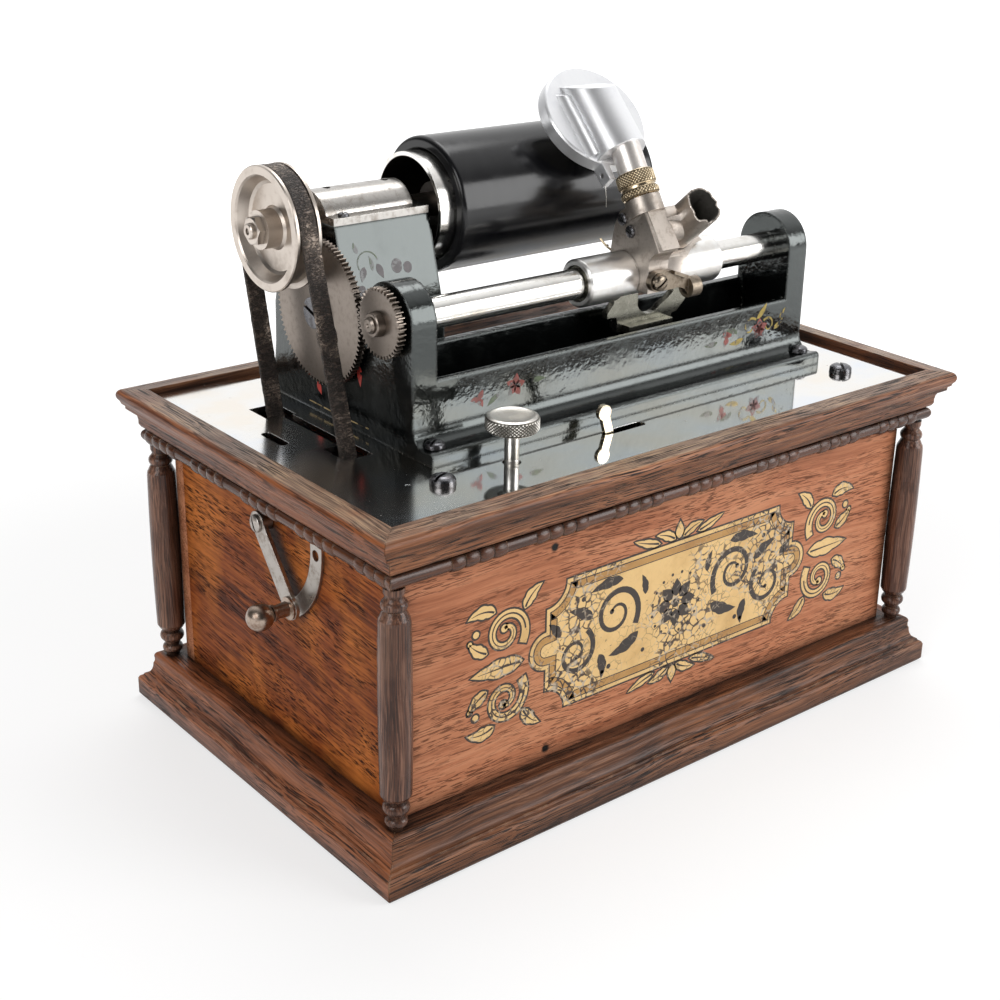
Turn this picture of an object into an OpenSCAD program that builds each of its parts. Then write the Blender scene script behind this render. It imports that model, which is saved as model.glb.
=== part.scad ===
// Spring-driven cylinder phonograph on a wooden case with four turned columns.
// X runs along the case, the front faces -Y and +Z is up.
// The origin is the middle of the case's underside, and sizes are in millimetres.

/* [Case] */
// Distance between the column axes along the length
column_span_x = 281.6; // [280:0.2:286]
// Distance between the column axes along the depth
column_span_y = 168.4; // [168:0.2:174]
// Height of the case, to the top of its upper frame
case_h = 143.4; // [142:0.2:150]
// Thickness of the four panels
panel_t = 8; // [6:0.5:9]
// Largest diameter of a turned column
column_d = 12.8; // [11:0.2:13]
// Diameter of the bead rods under the upper frame
bead_d = 7.2; // [6.4:0.1:7.4]

/* [Bedplate] */
// Thickness of the bedplate
plate_t = 2.5; // [2:0.1:3]
// Drop from the frame's top to the bedplate's face
plate_drop = 2.8; // [2:0.1:3.4]

/* [Record and mandrel] */
// Outer diameter of the record
record_d = 55.5; // [54:0.5:57]
// Length of the record
record_len = 104; // [98:0.5:106]
// Diameter of the mandrel at its open end
mandrel_d = 44.7; // [44:0.1:45.6]
// Taper of the mandrel's diameter from end to end
mandrel_taper = 2.9; // [2:0.1:4]

/* [Gears and belt] */
// Module of the three outer gears
gear_m = 0.65; // [0.64:0.005:0.66]
// Teeth of the pinion on the mandrel shaft
pinion_n = 18; // [17:1:19]
// Teeth of the idler gear
idler_n = 88; // [87:1:89]
// Teeth of the feed gear
feed_n = 40; // [39:1:41]
// Diameter of the mandrel pulley over its flanges
pulley_d = 48.4; // [47:0.2:49]
// Width of the leather belt
belt_w = 7.6; // [6:0.2:8]
// Thickness of the leather belt
belt_t = 1.8; // [1.4:0.1:2]

/* [Carriage] */
// Outer diameter of the feed tube
tube_d = 12.4; // [12:0.1:12.6]
// Outer diameter of the carriage sleeve
sleeve_d = 20; // [19.4:0.1:20.4]
// Length of the carriage sleeve
sleeve_len = 75; // [70:0.5:78]

/* [Reproducer] */
// Diameter of the reproducer's disc
disc_d = 48; // [46:0.5:49]
// Thickness of the reproducer's disc
disc_t = 6.6; // [6:0.1:7]
// Tilt of the reproducer's face from the level
disc_tilt = 46; // [44:0.5:48]

/* [Controls] */
// Radius from the side lever's pivot to its knob
lever_r = 35; // [33:0.5:36]
// Diameter of the side lever's ball knob
knob_d = 10.8; // [9:0.2:12]
// Diameter of the knurled speed screw
thumb_d = 18; // [15:0.5:19]

/* [Fits] */
// Radial clearance of a running fit
run_gap = 0.05; // [0.03:0.01:0.08]
// Clearance between parts that pass each other
free_gap = 0.3; // [0.25:0.05:0.4]

/* [Hidden] */
$fn = 64;
col_x = column_span_x / 2;
col_y = column_span_y / 2;
col_r = column_d / 2;
plate_z = case_h - plate_drop;
plate_under = plate_z - plate_t;

// Case levels
ledge_z = 22;
frame_low = case_h - 16.4;
bead_z = frame_low - bead_d / 2;
bead_out = 2.5;
panel_in = 3.8;
panel_x = col_x - panel_in;
panel_y = col_y - panel_in;
inner_x = panel_x - panel_t;
inner_y = panel_y - panel_t;
rebate = 2.3;
board_t = 8;

// Axes of the machine, as Y and Z
mandrel_ax = [33.2, plate_z + 76.9];
tube_ax = [-19.4, plate_z + 49.9];
pinion_r = pinion_n * gear_m / 2;
idler_r = idler_n * gear_m / 2;
feed_r = feed_n * gear_m / 2;
ax_gap = norm(mandrel_ax - tube_ax);
ax_dir = (mandrel_ax - tube_ax) / ax_gap;
reach_a = idler_r + feed_r;
reach_b = idler_r + pinion_r;
along = (ax_gap * ax_gap + reach_a * reach_a - reach_b * reach_b) / (2 * ax_gap);
aside = sqrt(reach_a * reach_a - along * along);
idler_ax = tube_ax + along * ax_dir + aside * [ax_dir[1], -ax_dir[0]];

// Stations along the machine
pulley_x0 = -inner_x + 11;
pulley_x1 = pulley_x0 + 11.4;
gear_x0 = pulley_x1 + 5;
gear_x1 = gear_x0 + 3;
cast_x0 = gear_x1 + 1.6;
cast_x1 = inner_x - 12;
post_in = cast_x0 + 11.3;
post_far = cast_x1 - 11;
stand_x1 = cast_x0 + 44.4;
mandrel_x0 = stand_x1 + 2.1;
record_x0 = mandrel_x0 + 7.3;
record_x1 = record_x0 + record_len;
mandrel_x1 = record_x1 + 1.7;
sleeve_x0 = post_in + 80.7;
sleeve_x1 = sleeve_x0 + sleeve_len;
head_x0 = sleeve_x0 + 25.5;
head_x1 = head_x0 + 11;
head_x = (head_x0 + head_x1) / 2;
post_r = 15;
split_up = 1.5;
stand_back = col_y - 17.2;

// Shafts and bores
shaft_r = 5;
bush_r = 8;
stud_r = 3;
screw_r = 4.2;
journal_r = 3.2;
tube_r = tube_d / 2;
tube_in = 5;
bush_in = tube_r + run_gap;
bush_out = bush_in + 1.25;
sleeve_in = bush_out + run_gap;
sleeve_r = sleeve_d / 2;
arbor_r = 2.5;
wind_r = 4;

// Reproducer frame: the middle of the disc's outer face
disc_r = disc_d / 2;
disc_at = [head_x, tube_ax[0] + 26.3, tube_ax[1] + 60.9];
neck_from = [0, -22, 5.8];
neck_lean = 13;
neck_r = 6.2;
neck_in = 4.8;
collar_r = 8.1;
collar_v0 = -9.4;
collar_v1 = -20.4;
channel_r = 11.4;
channel_up = 1.8;

// Motor layout, as Y and Z
belt_x = (pulley_x0 + pulley_x1) / 2;
groove_r = pulley_d / 2 - 2.2;
drive_ax = mandrel_ax + [-37, -140.2];
drive_groove_r = 25.4;
wheel_m = 0.6;
great_m = 0.7;
gov_m = 0.5;
mid_n = 72;
small_n = 12;
great_n = 84;
gov_n = 10;
mid_dir = 40;
great_dir = -60;
gov_dir = 200;
mid_ax = drive_ax + (mid_n + small_n) * wheel_m / 2 * [cos(mid_dir), sin(mid_dir)];
barrel_ax = mid_ax + (great_n + small_n) * great_m / 2 * [cos(great_dir), sin(great_dir)];
gov_ax = drive_ax + (mid_n + gov_n) * gov_m / 2 * [cos(gov_dir), sin(gov_dir)];
motor_x0 = cast_x0 - 3;
motor_x1 = motor_x0 + 102;
motor_y0 = -46;
motor_y1 = inner_y - 6.4;
motor_z0 = board_t + 16;
motor_t = 2.5;
barrel_r = 26.5;
barrel_x0 = motor_x0 + 28;
barrel_x1 = motor_x0 + 80;

// Controls
thumb_at = [cast_x0 + 28, tube_ax[0] - 39.3];
start_at = [cast_x0 + 86.7, tube_ax[0] - 37.2];
start_lean = 17;
start_pivot_z = plate_z - 26.8;
lever_x = -col_x - 0.7;
lever_at = [4.8, case_h - 31.1];
lever_rest = 231.5;
lever_end = 183;

// Colours
wood_dark = [0.24, 0.13, 0.08];
wood_mid = [0.46, 0.27, 0.17];
wood_warm = [0.55, 0.29, 0.13];
ebony = [0.12, 0.09, 0.08];
nickel = [0.78, 0.77, 0.74];
dull_nickel = [0.62, 0.57, 0.51];
japan = [0.05, 0.05, 0.055];
brass = [0.72, 0.58, 0.33];
steel = [0.55, 0.55, 0.56];
wax = [0.07, 0.07, 0.08];
leather = [0.2, 0.13, 0.1];

// Points of an arc, from angle a0 to angle a1
function arc(c, r, a0, a1, n) =
    [for (i = [0:n]) c + r * [cos(a0 + (a1 - a0) * i / n), sin(a0 + (a1 - a0) * i / n)]];

// A bar along X between two stations, on an axis given as Y and Z
module xcyl(x0, x1, r, ax = [0, 0]) {
    translate([x0, ax[0], ax[1]])
        rotate([0, 90, 0])
            cylinder(h = x1 - x0, r = r);
}

// A Y-Z outline drawn out along X
module xprism(x0, x1) {
    translate([x0, 0, 0])
        rotate([90, 0, 90])
            linear_extrude(height = x1 - x0)
                children();
}

// A turned shape whose outline is given as radius and station along X
module xturn(pts, ax = [0, 0]) {
    translate([0, ax[0], ax[1]])
        rotate([0, 90, 0])
            rotate_extrude()
                polygon(pts);
}

// Outline of a gear with straight-flanked teeth; the first tooth is at angle ph
function gear_pts(n, m, ph) =
    let (p = 360 / n, rp = n * m / 2)
    [for (i = [0:n - 1]) for (k = [[-0.29, -1.2], [-0.1, 0.95], [0.1, 0.95], [0.29, -1.2]])
        (rp + k[1] * m) * [cos(ph + (i + k[0]) * p), sin(ph + (i + k[0]) * p)]];

function bearing(a, b) = atan2(b[1] - a[1], b[0] - a[0]);

// Angle of a gear's first tooth so that its gap takes the neighbour's tooth
function mesh_phase(from_ax, from_n, from_ph, to_ax, to_n) =
    let (t = bearing(from_ax, to_ax), p = 360 / from_n)
    let (steps = (t - from_ph) / p, off = (round(steps) - steps) * p)
    t + 180 - off * from_n / to_n + 180 / to_n;

idler_ph = bearing(idler_ax, tube_ax);
feed_ph = mesh_phase(idler_ax, idler_n, idler_ph, tube_ax, feed_n);
pinion_ph = mesh_phase(idler_ax, idler_n, idler_ph, mandrel_ax, pinion_n);
mid_ph = bearing(mid_ax, drive_ax);
drive_ph = mesh_phase(mid_ax, mid_n, mid_ph, drive_ax, small_n);
mid_pinion_ph = bearing(mid_ax, barrel_ax);
great_ph = mesh_phase(mid_ax, small_n, mid_pinion_ph, barrel_ax, great_n);
fast_ph = bearing(drive_ax, gov_ax);
gov_ph = mesh_phase(drive_ax, mid_n, fast_ph, gov_ax, gov_n);

// A slotted screw standing along +Z with its seat at z = 0
module screw(head_r, head_h, shank_r, shank_l) {
    difference() {
        rotate_extrude()
            polygon(concat([[0, 0], [head_r, 0]],
                [for (i = [1:5]) [head_r * cos(i * 15), head_h * 0.35 + head_h * 0.65 * sin(i * 18)]],
                [[0, head_h]]));
        translate([-head_r - 1, -head_r * 0.13, head_h * 0.55])
            cube([2 * head_r + 2, head_r * 0.26, head_h]);
    }
    translate([0, 0, -shank_l])
        cylinder(h = shank_l, r = shank_r);
}

// Outline of the plinth, as distance outside the column axis and height
base_pts = concat([[-panel_in - panel_t, 0], [10.9, 0], [11.8, 1.1], [11.8, 8.4], [11.2, 9.6], [9.9, 10.4]],
    [for (i = [0:6]) [6.6 + 3.1 * (1 - sin(i * 15)), 11 + 5.4 * (1 - cos(i * 15))]],
    [[6.1, 17.6]],
    arc([3.7, 19.8], 2.5, -20, 100, 7),
    [[2.2, ledge_z], [-panel_in - panel_t, ledge_z]]);

// Outline of the upper frame, measured from the column axis and the frame's top
frame_pts = concat([[-5, -16.4], [5.2, -16.4], [5.9, -15.2], [5.9, -13.1]],
    [for (i = [0:5]) [9.5 - 3.5 * cos(i * 18), -9 - 3.9 * (1 - sin(i * 18))]],
    [[9.6, -7.5], [10.6, -6.9]],
    arc([9.1, -3.3], 3.05, -50, 62, 8),
    [[rebate, 0], [rebate, -plate_drop - plate_t], [-5, -plate_drop - plate_t]]);

// A straight length along X at the front, cut to a mitre at both ends
module mitred(half_x, half_y, out, deep) {
    intersection() {
        children();
        linear_extrude(height = case_h + 10)
            polygon([[-half_x - out, -half_y - out], [half_x + out, -half_y - out],
                [half_x - deep, -half_y + deep], [-half_x + deep, -half_y + deep]]);
    }
}

module base_side(half_x, half_y) {
    mitred(half_x, half_y, 20, 20)
        xprism(-half_x - 16, half_x + 16)
            polygon([for (p = base_pts) [-half_y - p[0], p[1]]]);
}

module frame_side(half_x, half_y) {
    mitred(half_x, half_y, 20, 20)
        xprism(-half_x - 16, half_x + 16)
            polygon([for (p = frame_pts) [-half_y - p[0], case_h + p[1]]]);
}

// Bead rod with groups of four rings, and a flat back against the panel
ring_pitch = 6.3;
group_pitch = 38.5;
module bead_side(half_x, half_y, shift) {
    groups = 2 * floor((half_x - abs(shift)) / group_pitch) + 1;
    rod_r = bead_d / 2 - 0.5;
    yc = -half_y - bead_out;
    mitred(half_x, half_y, 20, 20)
        union() {
            xcyl(-half_x - 12, half_x + 12, rod_r, [yc, bead_z]);
            for (g = [0:groups - 1])
                for (k = [0:3])
                    let (x = shift + (g - (groups - 1) / 2) * group_pitch + (k - 1.5) * ring_pitch)
                        xturn([[0, x - 2.2], [rod_r - 0.6, x - 2.2], [bead_d / 2, x - 1.1],
                            [bead_d / 2, x + 1.1], [rod_r - 0.6, x + 2.2], [0, x + 2.2]], [yc, bead_z]);
            translate([-half_x - 2, yc, bead_z + 0.2])
                cube([2 * half_x + 4, bead_out + panel_in, bead_d / 2 - 0.2]);
        }
}

module base_front() {
    color(wood_dark)
        base_side(col_x, col_y);
}

module base_back() {
    color(wood_dark)
        rotate([0, 0, 180])
            base_side(col_x, col_y);
}

module base_left() {
    color(wood_dark)
        rotate([0, 0, -90])
            base_side(col_y, col_x);
}

module base_right() {
    color(wood_dark)
        rotate([0, 0, 90])
            base_side(col_y, col_x);
}

module frame_front() {
    color(wood_dark)
        frame_side(col_x, col_y);
}

module frame_back() {
    color(wood_dark)
        rotate([0, 0, 180])
            frame_side(col_x, col_y);
}

module frame_left() {
    color(wood_dark)
        rotate([0, 0, -90])
            frame_side(col_y, col_x);
}

module frame_right() {
    color(wood_dark)
        rotate([0, 0, 90])
            frame_side(col_y, col_x);
}

module bead_front() {
    color(wood_dark)
        bead_side(col_x, col_y, 8);
}

module bead_back() {
    color(wood_dark)
        rotate([0, 0, 180])
            bead_side(col_x, col_y, 8);
}

module bead_left() {
    color(wood_dark)
        rotate([0, 0, -90])
            bead_side(col_y, col_x, 3);
}

module bead_right() {
    color(wood_dark)
        rotate([0, 0, 90])
            bead_side(col_y, col_x, 3);
}

// The board that closes the case from below, inside the plinth
module bottom_board() {
    color(wood_mid)
        translate([-inner_x, -inner_y, 0])
            cube([2 * inner_x, 2 * inner_y, board_t]);
}

// Room for the four columns at the panels' corners
module column_room() {
    for (sx = [-1, 1])
        for (sy = [-1, 1])
            translate([sx * col_x, sy * col_y, 0])
                cylinder(h = case_h, r = col_r + free_gap);
}

module panel_long() {
    difference() {
        translate([-panel_x, -panel_y, ledge_z])
            cube([2 * panel_x, panel_t, frame_low - ledge_z]);
        column_room();
    }
}

module panel_front() {
    color(wood_mid)
        panel_long();
}

module panel_back() {
    color(wood_mid)
        rotate([0, 0, 180])
            panel_long();
}

// Left panel, with the pilot holes of the side lever and its strip
module panel_left() {
    color(wood_warm)
        difference() {
            translate([-panel_x, -inner_y, ledge_z])
                cube([panel_t, 2 * inner_y, frame_low - ledge_z]);
            xcyl(-panel_x - 1, -panel_x + 7 - 1.5, 1.6, lever_at);
        }
}

// Right panel, with the hole for the winding arbor
module panel_right() {
    color(wood_warm)
        difference() {
            translate([panel_x - panel_t, -inner_y, ledge_z])
                cube([panel_t, 2 * inner_y, frame_low - ledge_z]);
            xcyl(panel_x - panel_t - 1, panel_x + 1, wind_r + 2, barrel_ax);
        }
}

// One turned column: two small balls, a long swelling shaft, a bell and a ring
module column() {
    lo = ledge_z;
    hi = bead_z - bead_d / 2;
    shaft_lo = lo + 13.4;
    shaft_hi = hi - 13.4;
    run = shaft_hi - shaft_lo;
    rotate_extrude()
        polygon(concat([[0, lo], [col_r * 0.45, lo]],
            arc([col_r * 0.36, lo + 3.4], col_r * 0.32, -70, 70, 6),
            arc([col_r * 0.4, lo + 9.3], col_r * 0.4, -60, 66, 7),
            [[col_r * 0.62, lo + 12.2], [col_r * 0.8, shaft_lo]],
            [for (i = [0:10]) [col_r * (0.9 + 0.1 * sin(20 + i * 14)), shaft_lo + 1.6 + (run - 1.6) * i / 10]],
            [[col_r * 0.9, hi - 12], [col_r * 0.72, hi - 9.6]],
            arc([col_r * 0.4, hi - 6.8], col_r * 0.38, -50, 50, 6),
            [[col_r * 0.52, hi - 3.8], [col_r * 0.62, hi - 2], [col_r * 0.62, hi], [0, hi]]));
}

module columns() {
    color(ebony)
        for (sx = [-1, 1])
            for (sy = [-1, 1])
                translate([sx * col_x, sy * col_y, 0])
                    column();
}

plate_hx = col_x + rebate - free_gap / 3;
plate_hy = col_y + rebate - free_gap / 3;
plate_screw_at = [[-inner_x + 26.4, -col_y + 23.5], [inner_x - 13, -col_y + 23.5], [cast_x0 + 37, stand_back + 10],
    [inner_x - 13, col_y - 23.5]];
foot_screw_x = [cast_x0 + 6, cast_x1 - 6];
foot_screw_y = -40;
belt_slot_w = pulley_x1 - pulley_x0 + 1;
slot_back = 42.5;
slot_front = -14;

// Nickelled plate that carries the machine and closes the case
module bedplate() {
    color(nickel)
        difference() {
            translate([-plate_hx, -plate_hy, plate_under])
                cube([2 * plate_hx, 2 * plate_hy, plate_t]);
            // Dumb-bell slot for the two runs of the belt
            for (y = [slot_back - 9, slot_front - 7])
                translate([belt_x - belt_slot_w / 2, y, plate_under - 1])
                    cube([belt_slot_w, 15, plate_t + 2]);
            translate([belt_x + 0.6, slot_front, plate_under - 1])
                cube([4.4, slot_back - slot_front, plate_t + 2]);
            // Narrow slot near the left edge
            translate([-inner_x - 0.4, 8, plate_under - 1])
                cube([4, 12, plate_t + 2]);
            for (y = [8, 20])
                translate([-inner_x + 1.6, y, plate_under - 1])
                    cylinder(h = plate_t + 2, r = 2);
            translate([thumb_at[0], thumb_at[1], plate_under - 1])
                cylinder(h = plate_t + 2, r = 3.6);
            // Slot for the start lever
            translate([start_at[0] - 9, start_at[1] - 2.2, plate_under - 1])
                cube([18, 4.4, plate_t + 2]);
            for (s = [-1, 1])
                translate([start_at[0] + s * 9, start_at[1], plate_under - 1])
                    cylinder(h = plate_t + 2, r = 2.2);
            for (p = plate_screw_at)
                translate([p[0], p[1], plate_under - 1])
                    cylinder(h = plate_t + 2, r = 2);
            for (x = foot_screw_x)
                translate([x, foot_screw_y, plate_under - 1])
                    cylinder(h = plate_t + 2, r = 2);
            translate([-inner_x + 15.2, -col_y + 29.4, plate_under - 1])
                cylinder(h = plate_t + 2, r = 1.2);
        }
}

module bedplate_screws() {
    color(steel)
        for (p = plate_screw_at)
            translate([p[0], p[1], plate_z])
                rotate([0, 0, p[0] + p[1]])
                    screw(5, 3.8, 1.9, plate_t + 6);
}

// Cast iron bed: foot, trough under the feed tube, two posts and the bearing stand
apron_y = tube_ax[0] - post_r;
foot_y = apron_y - 12.5;
wall_y = tube_ax[0] + 12.4;
apron_up = 28.9;
wall_up = 32.9;
stand_top = mandrel_ax[1] + split_up;
flange_w = 17;
module bed_casting() {
    color(japan)
        difference() {
            union() {
                xprism(cast_x0, cast_x1)
                    translate([0, plate_z])
                        polygon(concat([[foot_y, 0], [foot_y, 3.6]],
                            arc([foot_y + 1.8, 3.6], 1.8, 180, 60, 5),
                            [for (i = [0:6]) [apron_y - 7 + 7 * sin(i * 15), 4.6 + 6.6 * (1 - cos(i * 15))]],
                            [[apron_y, apron_up - 0.6], [apron_y + 0.6, apron_up], [apron_y + 3, apron_up],
                            [apron_y + 3.6, 10], [wall_y - 2, 10], [wall_y, wall_up], [wall_y + 4, wall_up],
                            [wall_y + 5, 0]]));
                for (x = [[cast_x0, post_in], [post_far, cast_x1]]) {
                    xcyl(x[0], x[1], post_r, tube_ax);
                    translate([x[0], tube_ax[0] - post_r, plate_z])
                        cube([x[1] - x[0], 2 * post_r, tube_ax[1] - plate_z]);
                }
                // Wall behind the gears
                translate([cast_x0, tube_ax[0], plate_z])
                    cube([8, 40, 36]);
                // Bearing stand
                xprism(cast_x0, stand_x1)
                    translate([mandrel_ax[0], plate_z])
                        polygon([[-28.2, 0], [stand_back - mandrel_ax[0], 0], [stand_back - mandrel_ax[0], 4.5],
                            [30.2, 9], [28.4, 22], [27.8, 39],
                            [flange_w, stand_top - plate_z], [-flange_w, stand_top - plate_z], [-27.6, 39]]);
            }
            // Hollow of the stand, open to the bedplate
            xprism(cast_x0 + 6, stand_x1 - 6)
                translate([mandrel_ax[0], plate_z])
                    polygon([[-21.2, -1], [22.8, -1], [21.8, 39], [8, stand_top - plate_z - 18],
                        [-8, stand_top - plate_z - 18], [-21.2, 39]]);
            xcyl(cast_x0 - 1, stand_x1 + 1, bush_r, mandrel_ax);
            // Seats of the feed tube and bearings of the feed screw
            xcyl(cast_x0 - 1, cast_x1 + 1, journal_r + run_gap, tube_ax);
            xcyl(post_in - 3, post_in + 1, tube_r, tube_ax);
            xcyl(post_far - 1, post_far + 3, tube_r, tube_ax);
            // Idler stud
            xcyl(cast_x0 - 1, cast_x0 + 7, stud_r - 0.8, idler_ax);
            for (x = foot_screw_x)
                translate([x, foot_screw_y, plate_z - 1])
                    cylinder(h = 30, r = 1.9);
            for (x = foot_screw_x)
                translate([x, foot_screw_y, plate_z + 5.2])
                    cylinder(h = 30, r = 4.4);
            for (at = cap_screw_at)
                translate([at[0], at[1], stand_top - 7])
                    cylinder(h = 10, r = 1.4);
        }
}

cap_screw_at = [[cast_x0 + 6, mandrel_ax[0] - 14.6], [stand_x1 - 10.4, mandrel_ax[0] + 14.6]];
cap_t = 3;
module casting_screws() {
    color(steel) {
        for (x = foot_screw_x)
            translate([x, foot_screw_y, plate_z + 5.2])
                rotate([0, 0, 30])
                    screw(4, 2.6, 1.8, 5.2 + plate_t + 4);
        for (at = cap_screw_at)
            translate([at[0], at[1], stand_top + cap_t])
                rotate([0, 0, 50])
                    screw(2.2, 1.5, 1.3, cap_t + 6);
    }
}

// Half-round nickelled cap over the mandrel bearing
module bearing_cap() {
    color(nickel)
        difference() {
            union() {
                intersection() {
                    xcyl(cast_x0, stand_x1 - 4, 12.6, mandrel_ax);
                    translate([cast_x0, mandrel_ax[0] - 20, stand_top])
                        cube([60, 40, 20]);
                }
                translate([cast_x0, mandrel_ax[0] - flange_w, stand_top])
                    cube([stand_x1 - cast_x0, 2 * flange_w, cap_t]);
            }
            xcyl(cast_x0 - 1, stand_x1 + 1, bush_r, mandrel_ax);
            for (x = [cast_x0 + 8, stand_x1 - 9.4])
                translate([x, mandrel_ax[0], mandrel_ax[1]])
                    cylinder(h = 20, r = 1.5);
            for (at = cap_screw_at)
                translate([at[0], at[1], stand_top - 1])
                    cylinder(h = 10, r = 1.4);
        }
}

module bearing_bush() {
    color(brass)
        difference() {
            xcyl(cast_x0, stand_x1, bush_r, mandrel_ax);
            xcyl(cast_x0 - 1, stand_x1 + 1, shaft_r + run_gap, mandrel_ax);
        }
}

// Mandrel shaft with its pinion cut on it
shaft_x0 = pulley_x0 - 6.6;
stub_r = shaft_r - 1.9;
module mandrel_shaft() {
    color(steel) {
        xcyl(pulley_x0 - 1, mandrel_x1 - 3, shaft_r, mandrel_ax);
        xturn([[0, shaft_x0 + 1.6], [1.3, shaft_x0 + 0.8], [1.3, shaft_x0], [stub_r - 0.5, shaft_x0],
            [stub_r, shaft_x0 + 0.5], [stub_r, pulley_x0], [0, pulley_x0]], mandrel_ax);
        xprism(gear_x0 - 0.4, gear_x1 + 0.4)
            translate(mandrel_ax)
                polygon(gear_pts(pinion_n, gear_m, pinion_ph));
    }
}

function mandrel_at(x) =
    mandrel_d / 2 - mandrel_taper / 2 * (x - mandrel_x0) / (mandrel_x1 - mandrel_x0);

// Tapered hollow mandrel, open towards the bearing
module mandrel() {
    w = 1.8;
    a = mandrel_x0;
    b = mandrel_x1;
    color(nickel)
        xturn([[mandrel_at(a), a], [mandrel_at(b) - 0.8, b], [shaft_r + 3, b], [shaft_r + 3, b - 3], [shaft_r, b - 3],
            [shaft_r, b - 16], [shaft_r + 4, b - 16], [shaft_r + 4, b - 7], [mandrel_at(b) - w, b - 7],
            [mandrel_at(a + 30) - w, a + 30], [shaft_r + 4, a + 30], [shaft_r + 4, a + 36], [shaft_r, a + 36],
            [shaft_r, a + 12], [shaft_r + 4, a + 12], [shaft_r + 4, a + 26], [mandrel_at(a + 26) - w, a + 26],
            [mandrel_at(a) - w, a]], mandrel_ax);
}

// Wax record on the mandrel
module record_cylinder() {
    a = record_x0;
    b = record_x1;
    r = record_d / 2;
    g = 0.08;
    color(wax)
        xturn(concat([[mandrel_at(a) + g, a + 1], [mandrel_at(a) + 1, a]],
            arc([r - 1.8, a + 1.8], 1.8, -90, 0, 5),
            arc([r - 1.8, b - 1.8], 1.8, 0, 90, 5),
            [[mandrel_at(b) + 1, b], [mandrel_at(b) + g, b - 1]]), mandrel_ax);
}

// Flanged pulley with a dished face
module mandrel_pulley() {
    a = pulley_x0;
    b = pulley_x1;
    r = pulley_d / 2;
    color(dull_nickel)
        xturn([[shaft_r, a - 1], [shaft_r + 2.4, a - 1], [shaft_r + 2.6, a + 4.4], [shaft_r + 3.6, a + 5.4],
            [groove_r - 5.2, a + 5.4], [groove_r - 4, a + 4.6], [groove_r - 1.9, a + 0.7],
            [groove_r - 1.3, a], [r - 0.4, a], [r, a + 0.5], [r, a + 1.6],
            [groove_r, a + 1.9], [groove_r, b - 1.9], [r, b - 1.6], [r, b - 0.4], [r - 0.4, b],
            [groove_r - 1.4, b], [groove_r - 1.8, b - 4], [shaft_r + 4, b - 4], [shaft_r + 4, b], [shaft_r, b]],
            mandrel_ax);
}

module pulley_nut() {
    color(steel) {
        difference() {
            union() {
                intersection() {
                    translate([pulley_x0 - 5, mandrel_ax[0], mandrel_ax[1]])
                        rotate([0, 90, 0])
                            rotate([0, 0, 20])
                                cylinder(h = 3.1, r = 5.9, $fn = 6);
                    xturn([[0, pulley_x0 - 5], [4.9, pulley_x0 - 5], [7.4, pulley_x0 - 3.6],
                        [7.4, pulley_x0 - 1], [0, pulley_x0 - 1]], mandrel_ax);
                }
                xcyl(pulley_x0 - 1.9, pulley_x0 - 1, 7.6, mandrel_ax);
            }
            xcyl(pulley_x0 - 6, pulley_x0, stub_r, mandrel_ax);
        }
    }
}

module idler_gear() {
    color(dull_nickel)
        difference() {
            union() {
                xprism(gear_x0, gear_x1)
                    translate(idler_ax)
                        polygon(gear_pts(idler_n, gear_m, idler_ph));
                xcyl(gear_x1, cast_x0 - 0.2, 8, idler_ax);
            }
            xcyl(gear_x0 - 1, cast_x0, stud_r + run_gap, idler_ax);
        }
}

// Shouldered slotted stud that the idler turns on
module idler_stud() {
    color(japan)
        difference() {
            union() {
                xcyl(gear_x0 - 2.6, gear_x0 - 0.2, 6.2, idler_ax);
                xcyl(gear_x0 - 0.2, cast_x0, stud_r, idler_ax);
                xcyl(cast_x0, cast_x0 + 7, stud_r - 0.8, idler_ax);
            }
            translate([gear_x0 - 3, idler_ax[0], idler_ax[1]])
                rotate([20, 0, 0])
                    translate([0, -10, -0.7])
                        cube([1.6, 20, 1.4]);
        }
}

// Feed gear with a stepped hub, fixed on the feed screw
module feed_gear() {
    color(dull_nickel)
        difference() {
            union() {
                xprism(gear_x0, gear_x1)
                    translate(tube_ax)
                        polygon(gear_pts(feed_n, gear_m, feed_ph));
                xturn([[0, gear_x0 - 3.4], [4.3, gear_x0 - 3.4], [4.7, gear_x0 - 3], [4.9, gear_x0], [0, gear_x0]],
                    tube_ax);
                xcyl(gear_x1, cast_x0 - 0.2, 6, tube_ax);
            }
            xcyl(gear_x0 - 5, cast_x0, journal_r, tube_ax);
        }
}

// Feed screw: journals in the posts and a finely grooved length between them
module feed_screw() {
    color(steel) {
        xturn([[0, gear_x0 - 4], [0.9, gear_x0 - 4.8], [2.4, gear_x0 - 4.8], [journal_r, gear_x0 - 4],
            [journal_r, post_in + 6], [0, post_in + 6]], tube_ax);
        xcyl(post_in + 6, post_far - 6, screw_r, tube_ax);
        xcyl(post_far - 6, cast_x1 - 1, journal_r, tube_ax);
    }
}

// Polished tube over the feed screw, slotted below for the half nut
module feed_tube() {
    color(nickel)
        difference() {
            xcyl(post_in - 3, post_far + 3, tube_r, tube_ax);
            xcyl(post_in - 4, post_far + 4, tube_in, tube_ax);
            translate([post_in + 5, tube_ax[0] - 2.5, tube_ax[1] - tube_r - 1])
                cube([post_far - post_in - 10, 5, tube_r]);
        }
}

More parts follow.
